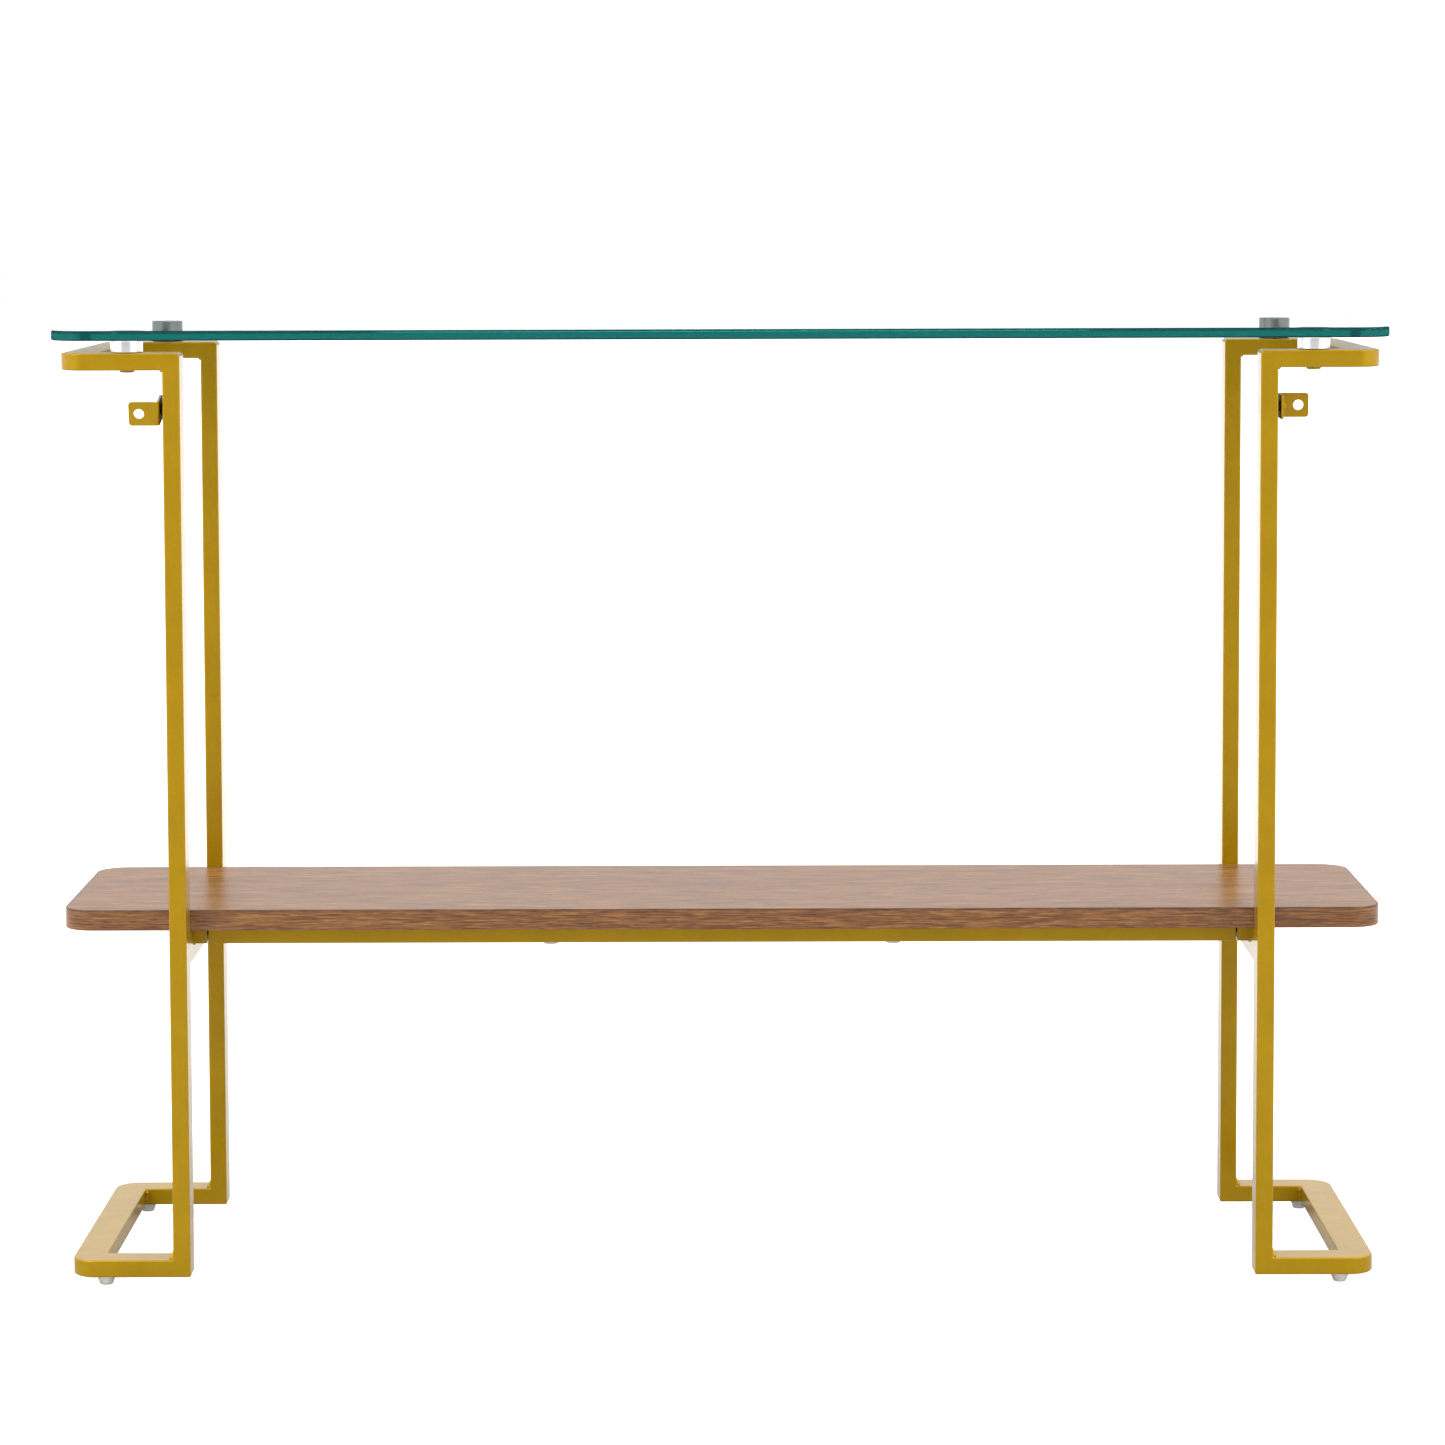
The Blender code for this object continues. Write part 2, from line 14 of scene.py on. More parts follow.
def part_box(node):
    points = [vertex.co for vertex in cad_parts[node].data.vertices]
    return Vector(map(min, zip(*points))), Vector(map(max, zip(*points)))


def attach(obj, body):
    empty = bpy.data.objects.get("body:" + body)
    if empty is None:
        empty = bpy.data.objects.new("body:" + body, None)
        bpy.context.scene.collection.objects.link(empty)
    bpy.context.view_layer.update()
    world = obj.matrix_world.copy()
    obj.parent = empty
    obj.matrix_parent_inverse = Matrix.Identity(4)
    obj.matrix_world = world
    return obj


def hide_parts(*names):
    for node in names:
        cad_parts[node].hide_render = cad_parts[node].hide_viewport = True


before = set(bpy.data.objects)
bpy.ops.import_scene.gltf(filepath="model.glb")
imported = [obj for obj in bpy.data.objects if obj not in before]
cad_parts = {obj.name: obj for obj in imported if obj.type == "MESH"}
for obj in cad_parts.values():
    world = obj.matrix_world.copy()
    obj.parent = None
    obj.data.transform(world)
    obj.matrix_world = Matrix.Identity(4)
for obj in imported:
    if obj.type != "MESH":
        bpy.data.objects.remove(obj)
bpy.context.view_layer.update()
BODY = "table"

SIDES = {-1: "left", 1: "right"}
ENDS = {-1: "front", 1: "rear"}
MM = 0.001

# Camera
LENS = 109.73
SENSOR = 36.0
SHIFT_Y = -0.1332
CAMERA_PLACE = (0.00778, -3.65019, 0.88630)
CAMERA_TURN = (85.5599, 0.1731, 0.0891)

# Edges and joints that the CAD leaves plain
TUBE_EDGE = 1.5 * MM
TUBE_END_DRESS = 0.35 * MM
LOOP_CORNER = 20 * MM
LOOP_INNER_CORNER = 1.5 * MM
TOP_MITRE_CORNER = 3.0 * MM
BASE_MITRE_CORNER = 0.9 * MM
MITRE_FILLET = 2.4 * MM
WELD_RIPPLE = 1.7 * MM
TOP_MITRE_WELD = 1.2 * MM
BASE_MITRE_WELD = 2.5 * MM
CORNER_WELD = 2.4 * MM
SIDE_RAIL_WELD = 1.5 * MM
STUB_WELD = 1.2 * MM
WELD_SEED = 40

# Shelf and glass
SHELF_CORNER = 25 * MM
SHELF_EDGE = 0.8 * MM
SHELF_BAND = 1.1 * MM
JOINT_LINE_INSET = SHELF_BAND + 0.3 * MM
JOINT_LINE_DEPTH = 0.10 * MM
JOINT_LINE_HALF = 0.11 * MM
RIM_START = 14.5 * MM
RIM_END = 16.0 * MM
GLASS_CORNER = 30 * MM
GLASS_ARRIS = 1.0 * MM
ARRIS_EASE = 0.06 * MM
GLASS_IOR = 1.52
EDGE_MAP = "edge_run"

# Hardware
STANDOFF_HEAD = 2.0 * MM
STANDOFF_SHANK = 5.0 * MM
SHELF_SCREW_HEAD = 3.0 * MM
SHELF_SCREW_SHANK = 4.0 * MM
RAIL_BOLT_HEAD = 3.0 * MM
RAIL_BOLT_SHANK = 6.0 * MM
TAB_SCREW_HEAD = 2.2 * MM
TAB_SCREW_SHANK = 4.0 * MM
SCREW_TURN_SEED = 7
DISC_CHAMFER = 0.45 * MM
DISC_LIP = 1.6 * MM
FOOT_NARROW_RADIUS = 5.0 * MM
FOOT_RIBS = 3
FOOT_GROOVE = 0.4 * MM
FOOT_CLEARANCE = 0.3 * MM
STUD_RADIUS = 3.0 * MM
STUD_PITCH = 1.0 * MM
STUD_THREAD = 0.32 * MM

# Wall tabs
TAB_THICK = 2.0 * MM
TAB_TALL = 19.5 * MM
TAB_REACH = 24.5 * MM
TAB_LEG_FRONT = 13.0 * MM
TAB_LEG_BACK = 11.0 * MM
TAB_BEND = 2.5 * MM
TAB_CORNER = 2.5 * MM
TAB_HOLE = 8.3 * MM
TAB_HOLE_REACH = 16.3 * MM
TAB_SCREW_HOLE = 4.6 * MM
TAB_SWING = {-1: 14.0, 1: 2.0}
TAB_NEAR = 2.6 * MM
TAB_EASE = 0.3 * MM
SPACER_EASE = 0.35 * MM

# Light of the studio: the world's strength in front, at the sides, behind, low down and above
WORLD_FRONT = 0.58
WORLD_SIDE = 1.3
WORLD_BACK = 1.1
WORLD_LOW = 0.55
WORLD_ABOVE = 0.9
FLOOR_TONE = 0.52
SWEEP_GLOW = 0.7
FLANK_GLOW = 0.6
FLOOR_SEEN_GLOW = 0.92
FLOOR_THROUGH_GLASS_GLOW = 0.55

X_AXIS, Y_AXIS, UP = Vector((1, 0, 0)), Vector((0, 1, 0)), Vector((0, 0, 1))


# ---------------------------------------------------------------- meshes


def mesh_object(name, bm, materials, smooth_angle=35):
    """An object of the drawn mesh, with its faces pointing out and its soft edges shaded smooth."""
    bmesh.ops.recalc_face_normals(bm, faces=bm.faces)
    mesh = bpy.data.meshes.new(name)
    bm.to_mesh(mesh)
    bm.free()
    for material in materials:
        mesh.materials.append(material)
    soften(mesh, smooth_angle)
    obj = bpy.data.objects.new(name, mesh)
    bpy.context.scene.collection.objects.link(obj)
    return obj


def soften(mesh, smooth_angle=35):
    mesh.polygons.foreach_set("use_smooth", [True] * len(mesh.polygons))
    mesh.set_sharp_from_angle(angle=math.radians(smooth_angle))
    mesh.update()


def apply_modifiers(obj):
    """Puts the result of the object's modifiers in its mesh, and leaves no modifier on it."""
    bpy.context.view_layer.update()
    evaluated = obj.evaluated_get(bpy.context.evaluated_depsgraph_get())
    mesh = bpy.data.meshes.new_from_object(evaluated)
    obj.modifiers.clear()
    obj.data = mesh


def combine(obj, others, operation):
    """Joins the others to the object, or cuts them out of it, as exact solids."""
    for other in others:
        boolean = obj.modifiers.new(operation.lower(), "BOOLEAN")
        boolean.operation = operation
        boolean.solver = "EXACT"
        boolean.object = other
    apply_modifiers(obj)
    for other in others:
        bpy.data.objects.remove(other)


def even_normals(obj):
    """Keeps large flat faces flat where they meet rounded edges."""
    weighted = obj.modifiers.new("even_normals", "WEIGHTED_NORMAL")
    weighted.keep_sharp = True
    weighted.weight = 80


def add_rings(bm, rings, closed_path=False):
    """Faces between rings of points of equal count, and caps at the ends of an open path."""
    made = [[bm.verts.new(point) for point in ring] for ring in rings]
    count = len(made[0])
    pairs = list(zip(made, made[1:]))
    if closed_path:
        pairs.append((made[-1], made[0]))
    for low, high in pairs:
        for i in range(count):
            j = (i + 1) % count
            bm.faces.new((low[i], low[j], high[j], high[i]))
    if not closed_path:
        bm.faces.new(list(reversed(made[0])))
        bm.faces.new(made[-1])
    return made


def arc_points(centre_x, centre_y, radius, start, steps, turn=90):
    """Points of an arc that begins at the angle start and turns so far, in degrees."""
    angles = [math.radians(start + turn * i / steps) for i in range(steps + 1)]
    return [(centre_x + radius * math.cos(a), centre_y + radius * math.sin(a)) for a in angles]


def rounded_outline(size_x, size_y, radius, steps):
    x, y = size_x / 2 - radius, size_y / 2 - radius
    places = [(x, y, 0), (-x, y, 90), (-x, -y, 180), (x, -y, 270)]
    return [p for cx, cy, start in places for p in arc_points(cx, cy, radius, start, steps)]


def plate_rings(size_x, size_y, radius, steps, profile):
    """Outlines of a plate with rounded corners, one for each (inset, height) of its edge."""
    rings = []
    for inset, height in profile:
        outline = rounded_outline(size_x - 2 * inset, size_y - 2 * inset, radius - inset, steps)
        rings.append([(x, y, height) for x, y in outline])
    return rings


def turned_rings(profile, steps):
    """Rings about local Z for (radius, height) points, from the bottom up."""
    rings = []
    for radius, height in profile:
        angles = [2 * math.pi * i / steps for i in range(steps)]
        rings.append([(radius * math.cos(a), radius * math.sin(a), height) for a in angles])
    return rings


def place(obj, matrix):
    """Moves a mesh to its place, and leaves the object at the origin."""
    obj.data.transform(matrix)
    if matrix.determinant() < 0:
        obj.data.flip_normals()


def axis_matrix(location, axis):
    """Turns local +Z to the axis and moves the origin to the location."""
    turn = Vector(axis).to_track_quat("Z", "Y").to_matrix().to_4x4()
    return Matrix.Translation(location) @ turn


# ---------------------------------------------------------------- materials


def new_material(name):
    material = bpy.data.materials.new(name)
    material.use_nodes = True
    tree = material.node_tree
    shader = tree.nodes["Principled BSDF"]
    return material, tree, shader


def node(tree, kind, settings=None, inputs=None):
    made = tree.nodes.new(kind)
    for key, value in (settings or {}).items():
        setattr(made, key, value)
    for key, value in (inputs or {}).items():
        if isinstance(value, bpy.types.NodeSocket):
            tree.links.new(value, made.inputs[key])
        else:
            made.inputs[key].default_value = value
    return made


def object_place(tree, scale):
    """Object coordinates stretched by a scale for each axis."""
    coordinates = node(tree, "ShaderNodeTexCoord")
    mapping = node(
        tree, "ShaderNodeMapping", inputs={"Vector": coordinates.outputs["Object"], "Scale": scale}
    )
    return mapping.outputs["Vector"]


def noise(tree, vector, scale, detail=2.0, roughness=0.5, distortion=0.0):
    made = node(
        tree,
        "ShaderNodeTexNoise",
        inputs={
            "Vector": vector,
            "Scale": scale,
            "Detail": detail,
            "Roughness": roughness,
            "Distortion": distortion,
        },
    )
    return made.outputs["Fac"]


def ramp(tree, factor, stops):
    """A colour ramp of (position, colour) stops."""
    made = node(tree, "ShaderNodeValToRGB", inputs={"Fac": factor})
    elements = made.color_ramp.elements
    while len(elements) < len(stops):
        elements.new(0.5)
    for element, (position, colour) in zip(elements, stops):
        element.position = position
        element.color = (*colour, 1.0)
    return made.outputs["Color"]


def remap(tree, value, from_low, from_high, to_low, to_high):
    made = node(
        tree,
        "ShaderNodeMapRange",
        inputs={
            "Value": value,
            "From Min": from_low,
            "From Max": from_high,
            "To Min": to_low,
            "To Max": to_high,
        },
    )
    return made.outputs["Result"]


def blend(tree, kind, factor, first, second):
    made = node(tree, "ShaderNodeMix", {"data_type": "RGBA", "blend_type": kind})
    for socket, value in zip((made.inputs[0], made.inputs[6], made.inputs[7]), (factor, first, second)):
        if isinstance(value, bpy.types.NodeSocket):
            tree.links.new(value, socket)
        else:
            socket.default_value = value
    return made.outputs[2]


def maths(tree, operation, *values):
    made = node(tree, "ShaderNodeMath", {"operation": operation})
    for socket, value in zip(made.inputs, values):
        if isinstance(value, bpy.types.NodeSocket):
            tree.links.new(value, socket)
        else:
            socket.default_value = value
    return made.outputs[0]


def bump(tree, height, strength, distance, normal=None):
    inputs = {"Height": height, "Strength": strength, "Distance": distance}
    if normal is not None:
        inputs["Normal"] = normal
    return node(tree, "ShaderNodeBump", inputs=inputs).outputs["Normal"]


def connect(tree, shader, **sockets):
    for name, value in sockets.items():
        tree.links.new(value, shader.inputs[name.replace("_", " ")])


def gold_material(name, deep, light):
    """Satin gold paint: a metallic base with fine flakes, under a coat with a little orange peel."""
    material, tree, shader = new_material(name)
    shader.inputs["Metallic"].default_value = 0.45
    shader.inputs["Specular IOR Level"].default_value = 0.08
    shader.inputs["Coat Weight"].default_value = 1.0
    shader.inputs["Coat Roughness"].default_value = 0.16
    shader.inputs["Coat IOR"].default_value = 1.22
    even = object_place(tree, (1, 1, 1))
    mottle = noise(tree, even, 26.0, 4.0, 0.6)
    flakes = noise(tree, even, 2300.0, 1.0, 0.5)
    base = ramp(tree, mottle, [(0.3, deep), (0.7, light)])
    sparkle = ramp(tree, flakes, [(0.35, (0.93, 0.93, 0.93)), (0.7, (1.06, 1.06, 1.04))])
    colour = blend(tree, "MULTIPLY", 1.0, base, sparkle)
    roughness = remap(tree, noise(tree, even, 60.0, 3.0), 0.3, 0.7, 0.34, 0.42)
    peel = bump(tree, noise(tree, even, 420.0, 2.0, 0.55), 0.09, 0.0004)
    normal = bump(tree, flakes, 0.05, 0.0001, peel)
    connect(tree, shader, Base_Color=colour, Roughness=roughness, Normal=normal)
    return material


def glass_material(name):
    """Clear float glass: nearly colourless through its thickness, deep green along its length.

    It bends light and mirrors it where it can't get out. Its outer gloss is held down at a low
    angle, so that what is behind it stays clear. The polished edge has a slight green haze.
    """
    material, tree, shader = new_material(name)
    tree.nodes.remove(shader)
    wave = noise(tree, object_place(tree, (1.0, 2.2, 1.0)), 7.0, 1.0)
    normal = bump(tree, wave, 0.015, 0.0004)
    white = (1.0, 1.0, 1.0, 1.0)
    faint = (0.895, 0.880, 0.885, 1.0)
    bent = node(
        tree,
        "ShaderNodeBsdfRefraction",
        inputs={"Color": faint, "Roughness": 0.0, "IOR": GLASS_IOR, "Normal": normal},
    )
    mirrored = node(
        tree,
        "ShaderNodeBsdfAnisotropic",
        inputs={"Color": white, "Roughness": 0.0, "Normal": normal},
    )
    fresnel = node(tree, "ShaderNodeFresnel", inputs={"IOR": GLASS_IOR, "Normal": normal})
    gloss_fall = 14.0
    least_gloss = 0.015
    gloss = maths(tree, "POWER", fresnel.outputs[0], gloss_fall)
    share = maths(tree, "MAXIMUM", gloss, least_gloss)
    mixed = node(
        tree, "ShaderNodeMixShader", inputs={0: share, 1: bent.outputs[0], 2: mirrored.outputs[0]}
    )
    facing = node(tree, "ShaderNodeTexCoord").outputs["Normal"]
    upright = node(tree, "ShaderNodeSeparateXYZ", inputs={"Vector": facing}).outputs["Z"]
    edge_haze = 0.25
    on_edge = remap(tree, maths(tree, "ABSOLUTE", upright), 0.5, 0.8, edge_haze, 0.0)
    hazy = node(tree, "ShaderNodeBsdfDiffuse", inputs={"Color": (0.0, 0.22, 0.20, 1.0)})
    edged = node(
        tree, "ShaderNodeMixShader", inputs={0: on_edge, 1: mixed.outputs[0], 2: hazy.outputs[0]}
    )
    absorption = node(
        tree, "ShaderNodeVolumeAbsorption", inputs={"Color": (0.0, 0.72, 0.69, 1.0), "Density": 13.0}
    )
    output = tree.nodes["Material Output"]
    tree.links.new(edged.outputs[0], output.inputs["Surface"])
    tree.links.new(absorption.outputs["Volume"], output.inputs["Volume"])
    return material


def walnut_material(name, along, streak_scale, figure_share, rim=None):
    """Walnut laminate: streaks along the board, broad figure, pores and a satin lacquer.

    along gives the coordinates, with their first axis along the grain. rim gives a tone that
    darkens the upper rim of an edge.
    """
    material, tree, shader = new_material(name)
    shader.inputs["Specular IOR Level"].default_value = 0.5
    vector = along(tree)

    def stretched(scale):
        return node(tree, "ShaderNodeMapping", inputs={"Vector": vector, "Scale": scale}).outputs[0]

    figure = noise(tree, stretched((1.1, 11.0, 11.0)), 1.6, 5.0, 0.55, 1.1)
    streaks = noise(tree, stretched(streak_scale), 2.2, 6.0, 0.62, 0.6)
    fine = noise(tree, stretched((16.0, 900.0, 900.0)), 1.4, 4.0, 0.6)
    broad = maths(tree, "MULTIPLY", figure, figure_share)
    tone = maths(tree, "ADD", broad, maths(tree, "MULTIPLY", streaks, 1.0 - figure_share))
    base = ramp(
        tree,
        tone,
        [
            (0.34, (0.080, 0.027, 0.008)),
            (0.45, (0.156, 0.060, 0.016)),
            (0.53, (0.226, 0.094, 0.026)),
            (0.66, (0.350, 0.165, 0.052)),
        ],
    )
    vein_tone = ramp(tree, fine, [(0.34, (0.66, 0.61, 0.56)), (0.56, (1.10, 1.09, 1.07))])
    veined = blend(tree, "MULTIPLY", 1.0, base, vein_tone)
    pores = noise(tree, stretched((34.0, 1300.0, 1300.0)), 1.0, 2.0, 0.5)
    pore_tone = ramp(tree, pores, [(0.26, (0.45, 0.40, 0.36)), (0.34, (1.0, 1.0, 1.0))])
    colour = blend(tree, "MULTIPLY", 0.8, veined, pore_tone)
    if rim is not None:
        colour = blend(tree, "MULTIPLY", 1.0, colour, rim(tree))
    roughness = remap(tree, fine, 0.3, 0.7, 0.24, 0.36)
    grain = bump(tree, fine, 0.16, 0.0002)
    normal = bump(tree, pores, 0.12, 0.0002, grain)
    connect(tree, shader, Base_Color=colour, Roughness=roughness, Normal=normal)
    return material


def along_x(tree):
    """Coordinates of the board itself, whose grain runs along X."""
    return node(tree, "ShaderNodeTexCoord").outputs["Object"]


def along_edge(tree):
    """Coordinates whose first axis runs round the board's edge, from the UV map, in metres."""
    uv = node(tree, "ShaderNodeUVMap", {"uv_map": EDGE_MAP})
    offset = node(
        tree, "ShaderNodeMapping", inputs={"Vector": uv.outputs["UV"], "Location": (3.7, 1.3, 0.4)}
    )
    return offset.outputs[0]


def rim_tone(tree):
    """Darkens the top of the edge band, where it meets the face."""
    uv = node(tree, "ShaderNodeUVMap", {"uv_map": EDGE_MAP})
    height = node(tree, "ShaderNodeSeparateXYZ", inputs={"Vector": uv.outputs["UV"]}).outputs["Y"]
    level = remap(tree, height, RIM_START, RIM_END, 0.0, 1.0)
    return ramp(tree, level, [(0.0, (1.0, 1.0, 1.0)), (1.0, (0.62, 0.58, 0.55))])


def metal_material(name, colour, low, high, line_scale, strength):
    """Bare metal with fine lines about local Z, for turned and plated hardware."""
    material, tree, shader = new_material(name)
    shader.inputs["Metallic"].default_value = 1.0
    even = object_place(tree, (1, 1, 1))
    dull = tuple(c * 0.9 for c in colour)
    cloud = noise(tree, even, 180.0, 3.0, 0.55)
    lines = noise(tree, object_place(tree, line_scale), 1.0, 3.0, 0.6)
    connect(
        tree,
        shader,
        Base_Color=ramp(tree, cloud, [(0.35, dull), (0.65, colour)]),
        Roughness=remap(tree, cloud, 0.3, 0.7, low, high),
        Normal=bump(tree, lines, strength, 0.0001),
    )
    return material


def plastic_material(name):
    """Moulded plastic, off-white and faintly translucent."""
    material, tree, shader = new_material(name)
    shader.inputs["Subsurface Weight"].default_value = 0.12
    shader.inputs["Subsurface Radius"].default_value = (0.004, 0.004, 0.003)
    shader.inputs["Specular IOR Level"].default_value = 0.5
    even = object_place(tree, (1, 1, 1))
    cloud = noise(tree, even, 240.0, 3.0)
    grain = noise(tree, even, 1900.0, 2.0)
    connect(
        tree,
        shader,
        Base_Color=ramp(tree, cloud, [(0.3, (0.90, 0.88, 0.83)), (0.7, (0.97, 0.95, 0.91))]),
        Roughness=remap(tree, cloud, 0.3, 0.7, 0.38, 0.52),
        Normal=bump(tree, grain, 0.12, 0.0002),
    )
    return material


def painted_shade_material(name):
    """Painted shade: a dark, dull brown for a screw's recess, for the side of a tab that faces the
    upright and for the spacer behind it.
    """
    material, tree, shader = new_material(name)
    shader.inputs["Specular IOR Level"].default_value = 0.1
    cloud = noise(tree, object_place(tree, (1, 1, 1)), 900.0, 2.0)
    connect(
        tree,
        shader,
        Base_Color=ramp(tree, cloud, [(0.3, (0.060, 0.030, 0.005)), (0.7, (0.130, 0.070, 0.012))]),
        Roughness=remap(tree, cloud, 0.3, 0.7, 0.45, 0.65),
    )
    return material


GOLD = gold_material("gold_paint", (0.385, 0.226, 0.0008), (0.440, 0.258, 0.0020))
GLASS = glass_material("clear_glass")
WALNUT_FACE = walnut_material("walnut_laminate_face", along_x, (12.0, 170.0, 170.0), 0.15)
WALNUT_EDGE = walnut_material(
    "walnut_laminate_edge", along_edge, (26.0, 380.0, 380.0), 0.15, rim_tone
)
POLISHED = (0.10, 0.16, (60, 60, 5200), 0.10)
STEEL = metal_material("polished_steel", (0.86, 0.86, 0.88), *POLISHED)
# Painted shade: a darker copy of the polished steel, for the rear discs seen under the glass.
STEEL_IN_PAINTED_SHADE = metal_material("polished_steel_painted_shade", (0.24, 0.26, 0.26), *POLISHED)
ZINC = metal_material("zinc_plate", (0.60, 0.61, 0.65), 0.26, 0.38, (900, 900, 900), 0.12)
PLASTIC = plastic_material("pale_plastic")
# Painted shade, for the recesses and for the parts between the tab and the upright.
PAINTED_SHADE = painted_shade_material("recess_shade")


# ---------------------------------------------------------------- sizes from the CAD


def span(name, axis):
    low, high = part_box(name)
    return low[axis], high[axis]


UPRIGHT_IN, UPRIGHT_OUT = span("right_front_upright", 0)
UPRIGHT_X = (UPRIGHT_IN + UPRIGHT_OUT) / 2
TUBE_THICK = UPRIGHT_OUT - UPRIGHT_IN
FRAME_FRONT = -span("right_top_loop", 1)[0]
FRAME_END = span("right_top_loop", 0)[1]
TOP_LOW, TOP_HIGH = span("right_top_loop", 2)
BASE_LOW, BASE_HIGH = span("right_base_loop", 2)
ARM_Y = -sum(span("right_front_upright", 1)) / 2
TUBE_WIDE = 2 * (FRAME_FRONT - ARM_Y)
SIDE_RAIL_LOW, SIDE_RAIL_HIGH = span("right_side_rail", 2)
RAIL_LOW, RAIL_HIGH = span("front_cross_rail", 2)
RAIL_Y = -sum(span("front_cross_rail", 1)) / 2


# ---------------------------------------------------------------- end frames


def tube_section(inset=0.0):
    """Section of the tube with rounded edges, drawn in by an inset."""
    thick, wide = TUBE_THICK - 2 * inset, TUBE_WIDE - 2 * inset
    return rounded_outline(thick, wide, TUBE_EDGE - inset, 4)


def bend_rings(section, corner, axes, half, shape, first):
    """Rings round one right-angled bend of the tube.

    axes are the way forward, the way to the outside of the bend and the bend's own axis. shape is
    its outer radius, its inner radius and the number of steps. first says whether the section's
    first coordinate is the one across the bend.
    """
    forward, across, other = axes
    outer, inner, steps = shape
    rings = []
    reach = across + forward
    for i in range(steps + 1):
        angle = math.radians(90 * i / steps)
        turn = across * math.cos(angle) + forward * math.sin(angle)
        outside = corner + reach * (half - outer) + turn * outer
        inside = corner - reach * (half + inner) + turn * inner
        ring = []
        for a, b in section:
            u, v = (a, b) if first else (b, a)
            ring.append(inside.lerp(outside, (u + half) / (2 * half)) + other * v)
        rings.append(ring)
    return rings


def frame_rings():
    """The closed run of tube of the right end frame: up the front upright, round the top loop, down
    the rear upright and round the base loop."""
    section = tube_section()
    cross_x = FRAME_END - TUBE_WIDE / 2
    top, base = (TOP_LOW + TOP_HIGH) / 2, (BASE_LOW + BASE_HIGH) / 2
    mitre_top = ("a", TOP_MITRE_CORNER, MITRE_FILLET, 6)
    mitre_base = ("a", BASE_MITRE_CORNER, MITRE_FILLET, 6)
    plan = ("b", LOOP_CORNER, LOOP_INNER_CORNER, 14)
    stops = [
        ((UPRIGHT_X, -ARM_Y, top), mitre_top),
        ((cross_x, -ARM_Y, top), plan),
        ((cross_x, ARM_Y, top), plan),
        ((UPRIGHT_X, ARM_Y, top), mitre_top),
        ((UPRIGHT_X, ARM_Y, base), mitre_base),
        ((cross_x, ARM_Y, base), plan),
        ((cross_x, -ARM_Y, base), plan),
        ((UPRIGHT_X, -ARM_Y, base), mitre_base),
    ]
    forward, a_axis, b_axis = UP, -X_AXIS, -Y_AXIS
    rings = []
    for place_of_bend, (which, *shape) in stops:
        corner = Vector(place_of_bend)
        if which == "a":
            axes = (forward, a_axis, b_axis)
            rings += bend_rings(section, corner, axes, TUBE_THICK / 2, shape, True)
            forward, a_axis = -a_axis, forward
        else:
            axes = (forward, b_axis, a_axis)
            rings += bend_rings(section, corner, axes, TUBE_WIDE / 2, shape, False)
            forward, b_axis = -b_axis, forward
    return rings


def closed_solid(name, rings, materials, closed_path=False):
    """An object of the rings, with caps, or a ring of rings without them."""
    bm = bmesh.new()
    add_rings(bm, rings, closed_path)
    return mesh_object(name, bm, materials)


def bar_rings(section, start, end, first, second):
    """Two end rings of a straight bar whose section lies along the axes first and second."""
    return [[p + first * a + second * b for a, b in section] for p in (start, end)]


def weld_bead(name, line, radius, seed):
    """A rippled bead from the line's first point to its last, with rounded ends."""
    draw = random.Random(seed)
    start, end = [Vector(point) for point in line]
    length = (end - start).length
    along = (end - start).normalized()
    side = along.orthogonal().normalized()
    up = along.cross(side)
    steps = max(6, round(length / (0.25 * WELD_RIPPLE)))
    shift = draw.uniform(0, math.tau)
    rings = []
    for i in range(steps + 1):
        s = length * i / steps
        ripple = 1 + 0.13 * math.sin(math.tau * s / WELD_RIPPLE + shift) + draw.uniform(-0.03, 0.03)
        taper = min(1.0, math.sqrt(max(0.0, min(s, length - s)) / radius + 0.10))
        r = radius * ripple * taper
        wander = side * draw.uniform(-0.04, 0.04) * radius
        centre = start + along * s + wander
        around = [math.tau * k / 10 for k in range(10)]
        rings.append([centre + (side * math.cos(t) + up * math.sin(t)) * r for t in around])
    return closed_solid(name, rings, [GOLD])


